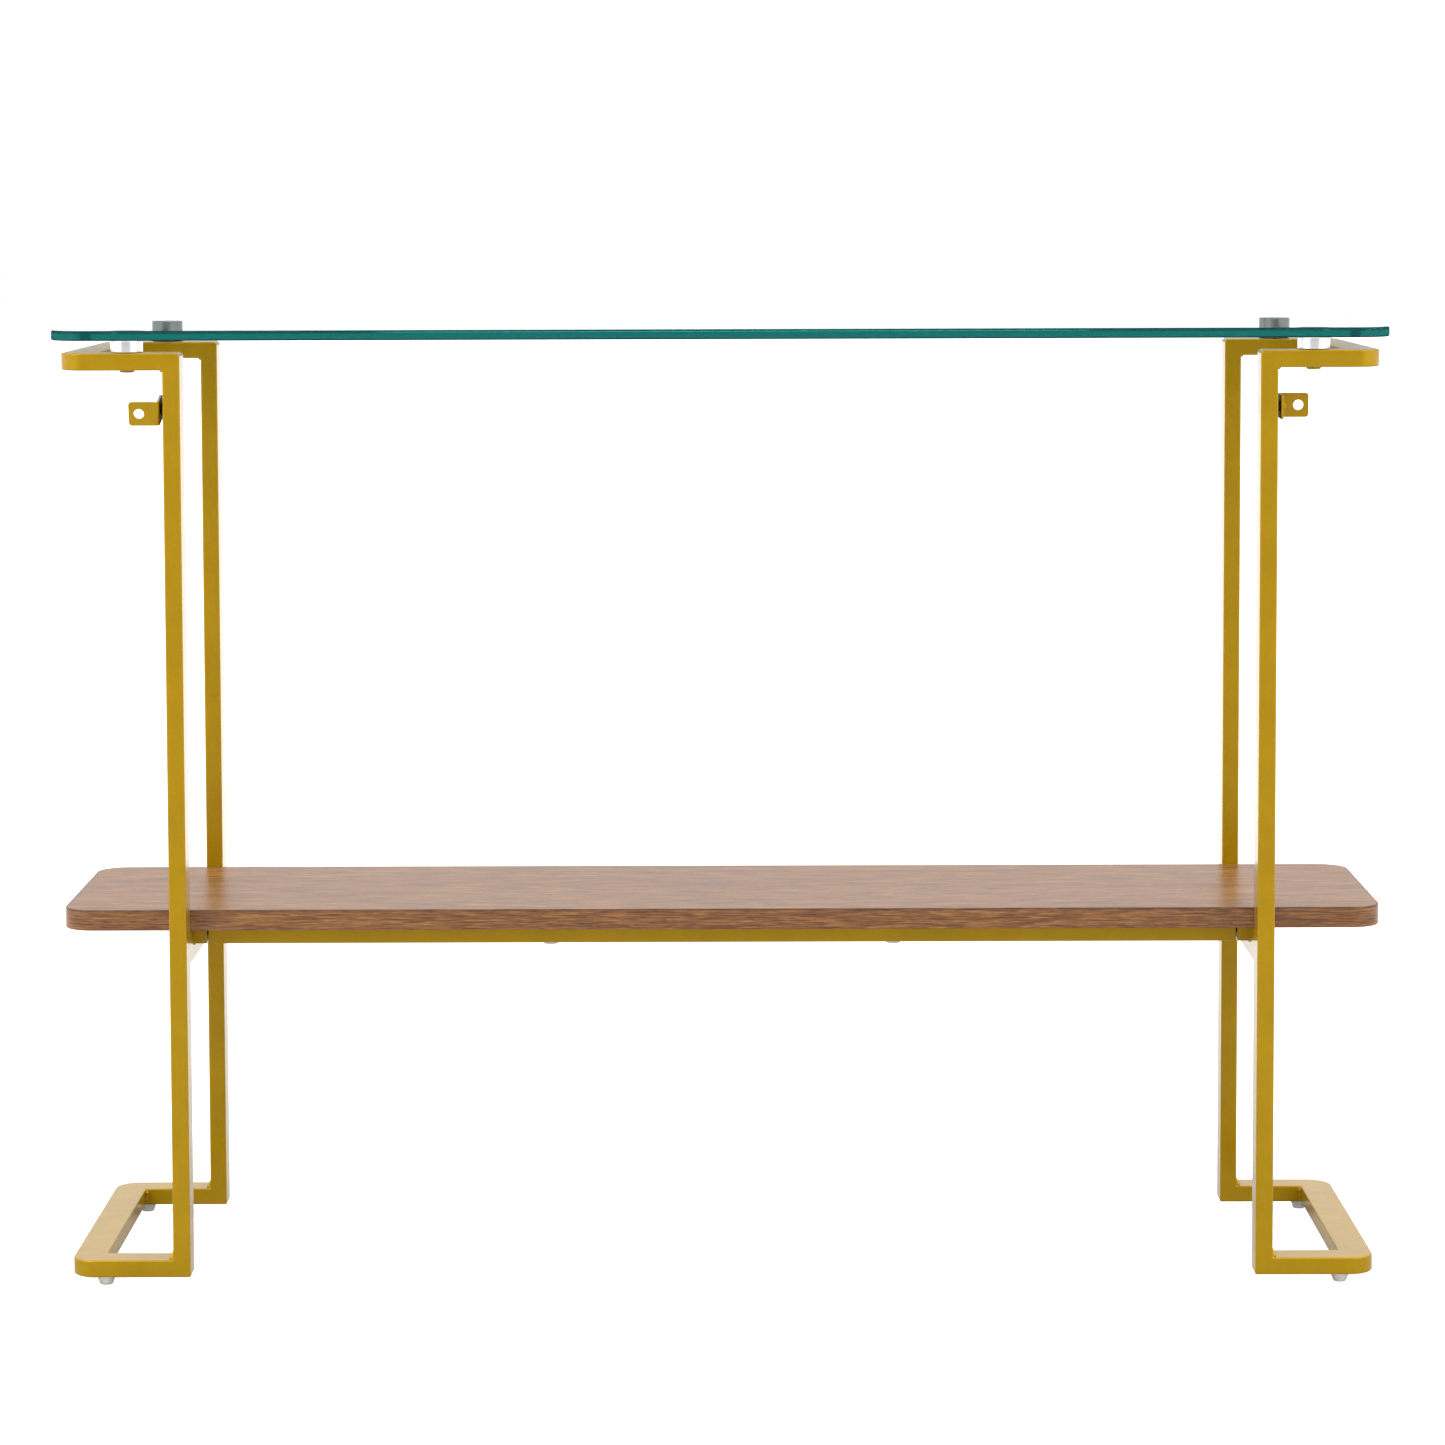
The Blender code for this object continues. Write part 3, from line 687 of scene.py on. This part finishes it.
def weld_beads():
    """The welds of the right end frame that show: in the corners of the bends, and at its rails."""
    beads = []
    reach_y = TUBE_WIDE / 2 - 1.0 * MM
    for end in ENDS:
        x = UPRIGHT_OUT + 0.7 * MM
        top_weld = ("top", TOP_LOW - 0.2 * MM, TOP_MITRE_WELD)
        base_weld = ("base", BASE_HIGH + 0.7 * MM, BASE_MITRE_WELD)
        for level, z, radius in (top_weld, base_weld):
            line = [(x, end * ARM_Y - reach_y, z), (x, end * ARM_Y + reach_y, z)]
            beads.append((f"mitre_{level}_{ENDS[end]}", line, radius))
        corner_x = FRAME_END - TUBE_WIDE - 0.5 * MM
        corner_y = end * (FRAME_FRONT - TUBE_WIDE - 0.5 * MM)
        for level, low, high in (("top", TOP_LOW, TOP_HIGH), ("base", BASE_LOW, BASE_HIGH)):
            line = [(corner_x, corner_y, low + 0.8 * MM), (corner_x, corner_y, high - 0.8 * MM)]
            beads.append((f"corner_{level}_{ENDS[end]}", line, CORNER_WELD))
        y = end * (FRAME_FRONT - TUBE_WIDE)
        line = [(UPRIGHT_IN + MM, y, SIDE_RAIL_LOW), (UPRIGHT_OUT - MM, y, SIDE_RAIL_LOW)]
        beads.append((f"rail_{ENDS[end]}", line, SIDE_RAIL_WELD))
        for edge in (-1, 1):
            y = end * RAIL_Y + edge * TUBE_WIDE / 2
            line = [(UPRIGHT_IN, y, RAIL_LOW + MM), (UPRIGHT_IN, y, RAIL_HIGH - 2 * MM)]
            beads.append((f"stub_{ENDS[end]}_{edge}", line, STUB_WELD))
        y = end * RAIL_Y
        line = [(UPRIGHT_IN, y - reach_y, RAIL_LOW), (UPRIGHT_IN, y + reach_y, RAIL_LOW)]
        beads.append((f"stub_{ENDS[end]}_low", line, STUB_WELD))
    return [weld_bead(*bead, WELD_SEED + i) for i, bead in enumerate(beads)]


def end_frame(side):
    """One welded end frame, with its side rail, stubs and welds as a single skin of paint."""
    name = f"{SIDES[side]}_end_frame"
    frame_piece = closed_solid(name, frame_rings(), [GOLD], True)
    section = tube_section()
    rail_z = (SIDE_RAIL_LOW + SIDE_RAIL_HIGH) / 2
    inset = FRAME_FRONT - TUBE_WIDE + 3 * MM
    rail_ends = [Vector((UPRIGHT_X, s * inset, rail_z)) for s in (1, -1)]
    others = [closed_solid("side_rail", bar_rings(section, *rail_ends, X_AXIS, UP), [GOLD])]
    stub_in = span("right_front_rail_stub", 0)[0]
    cross_z = (RAIL_LOW + RAIL_HIGH) / 2
    for end in ENDS:
        stub_ends = [Vector((x, end * RAIL_Y, cross_z)) for x in (stub_in, UPRIGHT_X)]
        others.append(closed_solid("stub", bar_rings(section, *stub_ends, UP, Y_AXIS), [GOLD]))
    others += weld_beads()
    combine(frame_piece, others, "UNION")
    holes = []
    bush_high = span("right_front_foot_bush", 2)[1] + 0.4 * MM
    bush_in, bush_out = span("right_front_foot_bush", 0)
    foot_x = (bush_in + bush_out) / 2
    bore_radius = (bush_out - bush_in) / 2 + 0.1 * MM
    for end in ENDS:
        bore = turned_rings([(bore_radius, -10 * MM), (bore_radius, bush_high)], 40)
        holes.append(closed_solid("bush_hole", bore, [GOLD]))
        place(holes[-1], Matrix.Translation((foot_x, end * ARM_Y, 0)))
    combine(frame_piece, holes, "DIFFERENCE")
    if side < 0:
        place(frame_piece, Matrix.Scale(-1, 4, (1, 0, 0)))
    soften(frame_piece.data)
    even_normals(frame_piece)
    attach(frame_piece, BODY)
    parts = ["top_loop", "base_loop", "side_rail"]
    parts += [f"{e}_{part}" for e in ENDS.values() for part in ("upright", "rail_stub")]
    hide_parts(*[f"{SIDES[side]}_{part}" for part in parts])


# ---------------------------------------------------------------- rails, shelf and glass


def cross_rail(end):
    """A length of the same tube under the shelf, with its cut ends lightly dressed."""
    name = f"{ENDS[end]}_cross_rail"
    low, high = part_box(name)
    middle = (low + high) / 2
    dress = TUBE_END_DRESS
    rings = []
    for x, inset in ((low.x, dress), (low.x + dress, 0), (high.x - dress, 0), (high.x, dress)):
        rings.append([(x, middle.y + b, middle.z + a) for a, b in tube_section(inset)])
    rail = closed_solid(f"{name}_tube", rings, [GOLD])
    even_normals(rail)
    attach(rail, BODY)
    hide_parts(name)


def edge_profile(thickness, radius):
    """(inset, height) points of a rounded edge, from the bottom face to the top face."""
    low = [(radius + x, radius + y) for x, y in arc_points(0, 0, radius, 270, 3, -90)]
    high = [(inset, thickness - height) for inset, height in reversed(low)]
    return low + high


def shelf_board():
    """The board: laminate on both faces, an edge band round it, and the fine joint line between."""
    low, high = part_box("shelf_board")
    size = high - low
    profile = edge_profile(size.z, SHELF_EDGE)
    band_rings = len(profile) + 1
    for shift, depth in ((-JOINT_LINE_HALF, 0.0), (0.0, JOINT_LINE_DEPTH), (JOINT_LINE_HALF, 0.0)):
        profile.append((JOINT_LINE_INSET + shift, size.z - depth))
    bm = bmesh.new()
    made = add_rings(bm, plate_rings(size.x, size.y, SHELF_CORNER, 14, profile))
    uv = bm.loops.layers.uv.new(EDGE_MAP)
    widest = made[len(profile) // 2]
    run = [0.0]
    for a, b in zip(widest, widest[1:]):
        run.append(run[-1] + (b.co - a.co).length)
    total = run[-1] + (widest[0].co - widest[-1].co).length
    index = {v: i for ring in made for i, v in enumerate(ring)}
    level = {v: r for r, ring in enumerate(made) for v in ring}
    for face in bm.faces:
        indices = [index[v] for v in face.verts]
        on_band = len(face.verts) == 4 and max(level[v] for v in face.verts) < band_rings
        face.material_index = 1 if on_band else 0
        wraps = len(face.verts) == 4 and max(indices) - min(indices) > 1
        for loop in face.loops:
            i = index[loop.vert]
            along = total if wraps and i == 0 else run[i]
            loop[uv].uv = (along, loop.vert.co.z)
    board = mesh_object("shelf_board_laminated", bm, [WALNUT_FACE, WALNUT_EDGE])
    place(board, Matrix.Translation((0, (low.y + high.y) / 2, low.z)))
    even_normals(board)
    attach(board, BODY)
    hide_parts("shelf_board")


def glass_top():
    """The pane, with an upright polished edge between two bright arrises."""
    low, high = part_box("glass_top")
    size = high - low
    arris, ease = GLASS_ARRIS, ARRIS_EASE
    half = [(arris + ease, 0), (arris, 0.02 * MM), (0.02 * MM, arris - ease / 2), (0, arris + ease)]
    profile = half + [(inset, size.z - height) for inset, height in reversed(half)]
    bm = bmesh.new()
    add_rings(bm, plate_rings(size.x, size.y, GLASS_CORNER, 28, profile))
    pane = mesh_object("glass_top_pane", bm, [GLASS], 20)
    place(pane, Matrix.Translation((0, (low.y + high.y) / 2, low.z)))
    even_normals(pane)
    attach(pane, BODY)
    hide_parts("glass_top")


# ---------------------------------------------------------------- hardware


def cross_cutter(size, width, depth):
    """A tapered cross, as a driver's tip, pointing up along local Z from the head's face at z = 0."""
    arms = []
    for turn in (0, 90):
        rings = []
        for z, share in ((-0.2, 1.0), (1.0, 0.45)):
            x, y = size / 2 * share, width / 2 * (0.6 + 0.4 * share)
            corners = ((-x, -y), (x, -y), (x, y), (-x, y))
            ring = [Vector((px, py, z * depth)) for px, py in corners]
            spin = Matrix.Rotation(math.radians(turn), 3, "Z")
            rings.append([spin @ p for p in ring])
        arms.append(closed_solid(f"driver_{turn}", rings, [PAINTED_SHADE]))
    return arms


def hex_cutter(across_flats, depth):
    """A hexagon key's tip, pointing up along local Z."""
    radius = across_flats / math.sqrt(3)
    rings = turned_rings([(radius, -0.3 * depth), (radius, depth)], 6)
    return [closed_solid("driver_hex", rings, [PAINTED_SHADE])]


def screw_mesh(key, head, head_height, shank, length, recess):
    """A headed screw: the head's face at z = 0 looks down, and the shank runs up to the length."""
    crown = 0.45 * head_height
    radius = head / 2
    top = head_height
    profile = []
    for i in range(9):
        angle = math.radians(90 * i / 8)
        profile.append((max(radius * math.sin(angle), 0.02 * MM), crown - crown * math.cos(angle)))
    profile += [(radius, top - 0.25 * MM), (radius - 0.2 * MM, top), (shank / 2, top)]
    thread = 0.12 * shank
    pitch = 0.22 * shank
    z = top + 0.3 * MM
    while z < length - pitch:
        profile += [(shank / 2, z), (shank / 2 - thread, z + pitch / 2)]
        z += pitch
    profile += [(shank / 2 - 0.05 * shank, length - 0.15 * shank), (0.3 * shank, length)]
    screw = closed_solid(key, turned_rings(profile, 48), [GOLD, PAINTED_SHADE])
    # The cutters carry painted shade, so the driver recess they leave is dark as if in shade.
    if recess == "cross":
        cutters = cross_cutter(0.52 * head, 0.11 * head, 0.75 * head_height)
    else:
        cutters = hex_cutter(0.42 * head, 0.7 * head_height)
    combine(screw, cutters, "DIFFERENCE")
    soften(screw.data, 40)
    mesh = screw.data
    bpy.data.objects.remove(screw)
    return mesh


def add_screw(node_name, mesh, materials, axis, turn):
    """Places a screw where the CAD has one: its head's face on the low side along the axis."""
    low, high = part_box(node_name)
    middle = (low + high) / 2
    direction = Vector(axis)
    start = Vector(middle)
    for i in range(3):
        if abs(direction[i]) > 0.5:
            start[i] = low[i] if direction[i] > 0 else high[i]
    own = mesh.copy()
    own.name = f"{node_name}_turned"
    own.materials.clear()
    for material in materials:
        own.materials.append(material)
    own.transform(axis_matrix(start, direction) @ Matrix.Rotation(math.radians(turn), 4, "Z"))
    screw = bpy.data.objects.new(f"{node_name}_turned", own)
    bpy.context.scene.collection.objects.link(screw)
    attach(screw, BODY)
    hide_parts(node_name)


def screw_sizes(node_name, axis):
    """The width of a screw's head, and its length along the axis."""
    low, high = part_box(node_name)
    size = high - low
    across = max(size[i] for i in range(3) if i != axis)
    return across, size[axis]


def all_screws():
    """The screws and bolts of the frame, each with its driver recess turned its own way."""
    # The second slot of each finish is painted shade for the driver recess.
    painted, plated = [GOLD, PAINTED_SHADE], [ZINC, PAINTED_SHADE]
    kinds = [
        # node, axis index, head height, shank, recess, finish, material slot
        ("standoff_screw", 2, STANDOFF_HEAD, STANDOFF_SHANK, "cross", painted, "gold_paint"),
        ("shelf_screw", 2, SHELF_SCREW_HEAD, SHELF_SCREW_SHANK, "cross", plated, "zinc_plate"),
        ("rail_bolt", 0, RAIL_BOLT_HEAD, RAIL_BOLT_SHANK, "hex", plated, "zinc_plate"),
    ]
    draw = random.Random(SCREW_TURN_SEED)
    for kind, axis, head_height, shank, recess, finish, slot in kinds:
        across, length = screw_sizes(f"right_front_{kind}", axis)
        mesh = screw_mesh(kind, across, head_height, shank, length, recess)
        for side in SIDES:
            for end in ENDS:
                direction = UP if axis == 2 else Vector((-side, 0, 0))
                name = f"{SIDES[side]}_{ENDS[end]}_{kind}"
                add_screw(name, mesh, finish, direction, draw.uniform(0, 90))
    across, length = screw_sizes("right_tab_screw", 0)
    mesh = screw_mesh("tab_screw", across, TAB_SCREW_HEAD, TAB_SCREW_SHANK, length, "cross")
    for side in SIDES:
        name = f"{SIDES[side]}_tab_screw"
        add_screw(name, mesh, painted, (-side, 0, 0), draw.uniform(0, 90))


def discs():
    """Turned discs between the loops and the glass, with a fine chamfer and a lip at each face."""
    low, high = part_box("right_front_standoff_disc")
    radius, height = (high.x - low.x) / 2, high.z - low.z
    chamfer = DISC_CHAMFER
    half = [(0.3 * radius, 0), (radius - DISC_LIP, 0), (radius - chamfer, 0.02 * MM)]
    half += [(radius - 0.06 * MM, chamfer - 0.06 * MM), (radius, chamfer + 0.06 * MM)]
    profile = half + [(r, height - z) for r, z in reversed(half)]
    for side in SIDES:
        for end in ENDS:
            name = f"{SIDES[side]}_{ENDS[end]}_standoff_disc"
            low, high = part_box(name)
            # The rear discs take the darker steel, which is painted shade.
            steel = STEEL if end < 0 else STEEL_IN_PAINTED_SHADE
            disc = closed_solid(f"{name}_turned", turned_rings(profile, 72), [steel])
            place(disc, Matrix.Translation(((low.x + high.x) / 2, (low.y + high.y) / 2, low.z)))
            soften(disc.data, 30)
            even_normals(disc)
            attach(disc, BODY)
            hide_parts(name)


def foot_rings(pad, pad_top, top):
    """A ribbed, tapering pad, and above it the stud with its thread."""
    steps = 48
    wide, narrow, groove = pad / 2, FOOT_NARROW_RADIUS, FOOT_GROOVE
    profile = [(0.5 * MM, 0.25 * MM), (narrow - 1.6 * MM, 0.25 * MM), (narrow - 1.2 * MM, 0.0)]
    profile += [(narrow - groove - 0.3 * MM, 0.0)]
    rib = pad_top / FOOT_RIBS
    rib_shape = ((0.0, 1.0), (0.12, 0.9), (0.24, 0.25), (0.36, 0.0), (0.82, 0.0), (0.94, 0.25))
    for i in range(FOOT_RIBS):
        for share, depth in rib_shape:
            z = rib * (i + share)
            if i == 0 and share == 0.0:
                z = 0.05 * MM
            profile.append((narrow + (wide - narrow) * z / pad_top - groove * depth, z))
    profile += [(wide - 0.35 * MM, pad_top), (3.3 * MM, pad_top)]
    rings = turned_rings(profile, steps)
    pitch, depth, stud = STUD_PITCH, STUD_THREAD, STUD_RADIUS
    z = pad_top + 0.05 * MM
    while z < top - 0.4 * MM:
        ring = []
        for i in range(steps):
            phase = ((z - pad_top) / pitch - i / steps) % 1.0
            r = stud - depth * abs(2 * phase - 1)
            angle = math.tau * i / steps
            ring.append((r * math.cos(angle), r * math.sin(angle), z))
        rings.append(ring)
        z += pitch / 8
    rings += turned_rings([(stud - depth, top - 0.25 * MM), (stud - depth - 0.4 * MM, top)], steps)
    return rings


def feet():
    """Levelling feet: each rides on its own body, so the thread shows as it screws out."""
    pad_top = BASE_LOW - FOOT_CLEARANCE
    for side in SIDES:
        for end in ENDS:
            name = f"{SIDES[side]}_{ENDS[end]}_foot"
            low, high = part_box(name)
            bm = bmesh.new()
            add_rings(bm, foot_rings(high.x - low.x, pad_top - low.z, high.z - low.z))
            foot = mesh_object(f"{name}_ribbed", bm, [PLASTIC], 50)
            place(foot, Matrix.Translation(((low.x + high.x) / 2, (low.y + high.y) / 2, low.z)))
            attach(foot, name)
            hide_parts(name)


# ---------------------------------------------------------------- wall tabs


def tab_outline():
    """Plan of the folded tab: the leg along Y lies on the spacer, the other reaches to -X."""
    near, far, front = TAB_NEAR, TAB_NEAR + TAB_REACH, -TAB_LEG_FRONT
    bend_x, bend_y = -near - TAB_BEND, front + TAB_BEND
    outline = [(-near, TAB_LEG_BACK), (-near - TAB_THICK, TAB_LEG_BACK)]
    outline += arc_points(bend_x, bend_y, TAB_BEND - TAB_THICK, 0, 4, -90)
    outline += [(-far, front + TAB_THICK), (-far, front)]
    outline += arc_points(bend_x, bend_y, TAB_BEND, -90, 8, 90)
    return outline


def tab_blank(name):
    """The folded strip before its holes are cut, with rounded corners at both tips."""
    outline = tab_outline()
    bm = bmesh.new()
    rings = [[(x, y, z) for x, y in outline] for z in (-TAB_TALL / 2, TAB_TALL / 2)]
    add_rings(bm, rings)
    bmesh.ops.recalc_face_normals(bm, faces=bm.faces)
    far = TAB_NEAR + TAB_REACH
    corners = []
    for edge in bm.edges:
        middle = (edge.verts[0].co + edge.verts[1].co) / 2
        level = abs(edge.verts[0].co.z - edge.verts[1].co.z) < MM / 10
        at_tip = abs(middle.x + far) < MM / 10 or abs(middle.y - TAB_LEG_BACK) < MM / 10
        at_rim = abs(abs(middle.z) - TAB_TALL / 2) < MM / 10
        if level and at_tip and at_rim and edge.calc_length() > TAB_THICK / 2:
            corners.append(edge)
    bmesh.ops.bevel(bm, geom=corners, offset=TAB_CORNER, segments=7, profile=0.5, affect="EDGES")
    return mesh_object(name, bm, [GOLD, PAINTED_SHADE], 30)


def wall_tab(side):
    """A folded tab that turns about its screw. Its edges are the eased edges of painted sheet."""
    node_name = f"{SIDES[side]}_wall_tab"
    tab = tab_blank(f"{node_name}_folded")
    holes = []
    through = 3 * TAB_THICK
    wall_hole = turned_rings([(TAB_HOLE / 2, -through), (TAB_HOLE / 2, through)], 48)
    holes.append(closed_solid("wall_hole", wall_hole, [GOLD]))
    middle = (-TAB_NEAR - TAB_HOLE_REACH, -TAB_LEG_FRONT + TAB_THICK / 2, 0)
    place(holes[-1], axis_matrix(middle, (0, 1, 0)))
    screw_hole = turned_rings([(TAB_SCREW_HOLE / 2, -through), (TAB_SCREW_HOLE / 2, through)], 32)
    holes.append(closed_solid("screw_hole", screw_hole, [GOLD]))
    place(holes[-1], axis_matrix((-TAB_NEAR - TAB_THICK / 2, 0, 0), (1, 0, 0)))
    combine(tab, holes, "DIFFERENCE")
    bevel = tab.modifiers.new("eased_edges", "BEVEL")
    bevel.width = TAB_EASE
    bevel.segments = 3
    bevel.limit_method = "ANGLE"
    bevel.angle_limit = math.radians(50)
    apply_modifiers(tab)
    # Painted shade: the face of the leg that looks at the upright takes the dark shade material.
    for face in tab.data.polygons:
        if face.normal.x > 0.9 and face.center.x > -TAB_NEAR - MM / 10:
            face.material_index = 1
    turn = Matrix.Rotation(math.radians(TAB_SWING[side]), 4, "X")
    if side > 0:
        turn = turn @ Matrix.Rotation(math.pi, 4, "Z")
    low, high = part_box(f"{SIDES[side]}_tab_screw")
    centre = (side * UPRIGHT_OUT, (low.y + high.y) / 2, (low.z + high.z) / 2)
    place(tab, Matrix.Translation(centre) @ turn)
    soften(tab.data, 30)
    even_normals(tab)
    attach(tab, node_name)
    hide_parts(node_name)


def tab_spacer(side):
    """The round flange that stands between the upright and the tab's leg."""
    name = f"{SIDES[side]}_tab_spacer"
    low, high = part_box(name)
    outer, inner, length = (high.z - low.z) / 2, TAB_SCREW_HOLE / 2, high.x - low.x
    ease = SPACER_EASE
    profile = [(inner + ease, 0), (outer - ease, 0), (outer, ease), (outer, length - ease)]
    profile += [(outer - ease, length), (inner + ease, length), (inner, length - ease), (inner, ease)]
    # Painted shade: the whole spacer takes the dark shade material, as it sits in shade between the
    # upright and the tab.
    spacer = closed_solid(f"{name}_turned", turned_rings(profile, 48), [PAINTED_SHADE], True)
    near_x = low.x if side > 0 else high.x
    centre = (near_x, (low.y + high.y) / 2, (low.z + high.z) / 2)
    place(spacer, axis_matrix(centre, (side, 0, 0)))
    soften(spacer.data, 50)
    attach(spacer, BODY)
    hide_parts(name)


# ---------------------------------------------------------------- studio


def floor_material():
    """A pale floor: softly lit near the table, and glowing brighter behind it, as a rising sweep would,
    and far off to the sides.
    """
    material, tree, shader = new_material("studio_floor")
    shader.inputs["Roughness"].default_value = 0.9
    shader.inputs["Specular IOR Level"].default_value = 0.0
    shader.inputs["Base Color"].default_value = (FLOOR_TONE, FLOOR_TONE, FLOOR_TONE, 1.0)
    shader.inputs["Emission Color"].default_value = (1.0, 1.0, 1.0, 1.0)
    parts = node(
        tree, "ShaderNodeSeparateXYZ", inputs={"Vector": object_place(tree, (1, 1, 1))}
    ).outputs
    ground = object_place(tree, (1, 1, 0))
    reach = node(tree, "ShaderNodeVectorMath", {"operation": "LENGTH"}, {0: ground}).outputs["Value"]
    aside = maths(tree, "DIVIDE", maths(tree, "ABSOLUTE", parts["X"]), reach)
    beside = remap(tree, aside, 0.45, 0.65, 0.0, FLANK_GLOW)
    flank = maths(tree, "MULTIPLY", beside, remap(tree, reach, 1.8, 4.0, 0.0, 1.0))
    sweep = maths(tree, "MAXIMUM", remap(tree, parts["Y"], 0.3, 2.5, 0.0, SWEEP_GLOW), flank)
    path = node(tree, "ShaderNodeLightPath").outputs
    through = maths(tree, "MULTIPLY", path["Is Transmission Ray"], FLOOR_THROUGH_GLASS_GLOW)
    straight = maths(tree, "MULTIPLY", path["Is Camera Ray"], FLOOR_SEEN_GLOW)
    seen = maths(tree, "MAXIMUM", straight, through)
    glow = maths(tree, "MAXIMUM", sweep, seen)
    tree.links.new(glow, shader.inputs["Emission Strength"])
    return material


def studio():
    """The floor, the world's soft light, darker in a narrow band in front, and two softboxes."""
    bm = bmesh.new()
    bmesh.ops.create_grid(bm, x_segments=1, y_segments=1, size=30)
    floor = mesh_object("studio_floor", bm, [floor_material()])

    world = bpy.data.worlds.new("studio_world")
    world.use_nodes = True
    bpy.context.scene.world = world
    tree = world.node_tree
    tree.nodes.clear()
    direction = node(tree, "ShaderNodeTexCoord").outputs["Generated"]
    parts = node(tree, "ShaderNodeSeparateXYZ", inputs={"Vector": direction}).outputs
    wall = remap(tree, parts["Z"], 0.10, 0.22, WORLD_LOW, WORLD_BACK)
    behind = remap(tree, parts["Y"], 0.2, 0.7, 0.0, 1.0)
    around = remap(tree, parts["Y"], -0.92, -0.74, WORLD_FRONT, WORLD_SIDE)
    level = node(
        tree, "ShaderNodeMix", {"data_type": "FLOAT"}, {0: behind, 2: around, 3: wall}
    ).outputs[0]
    overhead = remap(tree, parts["Z"], 0.35, 0.95, 0.0, WORLD_ABOVE)
    light = maths(tree, "ADD", level, overhead)
    lit = node(tree, "ShaderNodeBackground", inputs={"Strength": light})
    seen = node(tree, "ShaderNodeBackground", inputs={"Strength": 1.0})
    for background in (lit, seen):
        background.inputs["Color"].default_value = (1.0, 1.0, 1.0, 1.0)
    camera_ray = node(tree, "ShaderNodeLightPath").outputs["Is Camera Ray"]
    mixed = node(
        tree, "ShaderNodeMixShader", inputs={0: camera_ray, 1: lit.outputs[0], 2: seen.outputs[0]}
    )
    output = node(tree, "ShaderNodeOutputWorld")
    tree.links.new(mixed.outputs[0], output.inputs["Surface"])

    add_softbox("softbox_left", (-2.3, -1.6, 2.2), 1.6, 26.0)
    add_softbox("softbox_right", (2.5, -1.2, 1.9), 1.4, 16.0)


def add_softbox(name, location, size, power):
    light = bpy.data.lights.new(name, "AREA")
    light.shape = "SQUARE"
    light.size = size
    light.energy = power
    box = bpy.data.objects.new(name, light)
    box.location = location
    aim = Vector((0, 0, 0.4)) - Vector(location)
    box.rotation_euler = aim.to_track_quat("-Z", "Y").to_euler()
    bpy.context.scene.collection.objects.link(box)


def camera():
    """A long lens in front of the table, a little above its top."""
    data = bpy.data.cameras.new("studio_camera")
    data.lens = LENS
    data.sensor_width = SENSOR
    data.shift_y = SHIFT_Y
    data.clip_end = 100
    data.dof.use_dof = False
    obj = bpy.data.objects.new("studio_camera", data)
    obj.location = CAMERA_PLACE
    obj.rotation_euler = [math.radians(angle) for angle in CAMERA_TURN]
    bpy.context.scene.collection.objects.link(obj)
    bpy.context.scene.camera = obj


def carried_over():
    """Better finishes on the CAD nodes that stay: the inserts and bushes inside the tubes."""
    for name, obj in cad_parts.items():
        if name.endswith(("rail_insert", "foot_bush")):
            for slot in obj.material_slots:
                slot.material = ZINC


camera()
studio()
for table_side in SIDES:
    end_frame(table_side)
    wall_tab(table_side)
    tab_spacer(table_side)
for table_end in ENDS:
    cross_rail(table_end)
shelf_board()
glass_top()
discs()
all_screws()
feet()
carried_over()

view_settings = bpy.context.scene.view_settings
view_settings.view_transform = "Standard"
view_settings.look = "None"
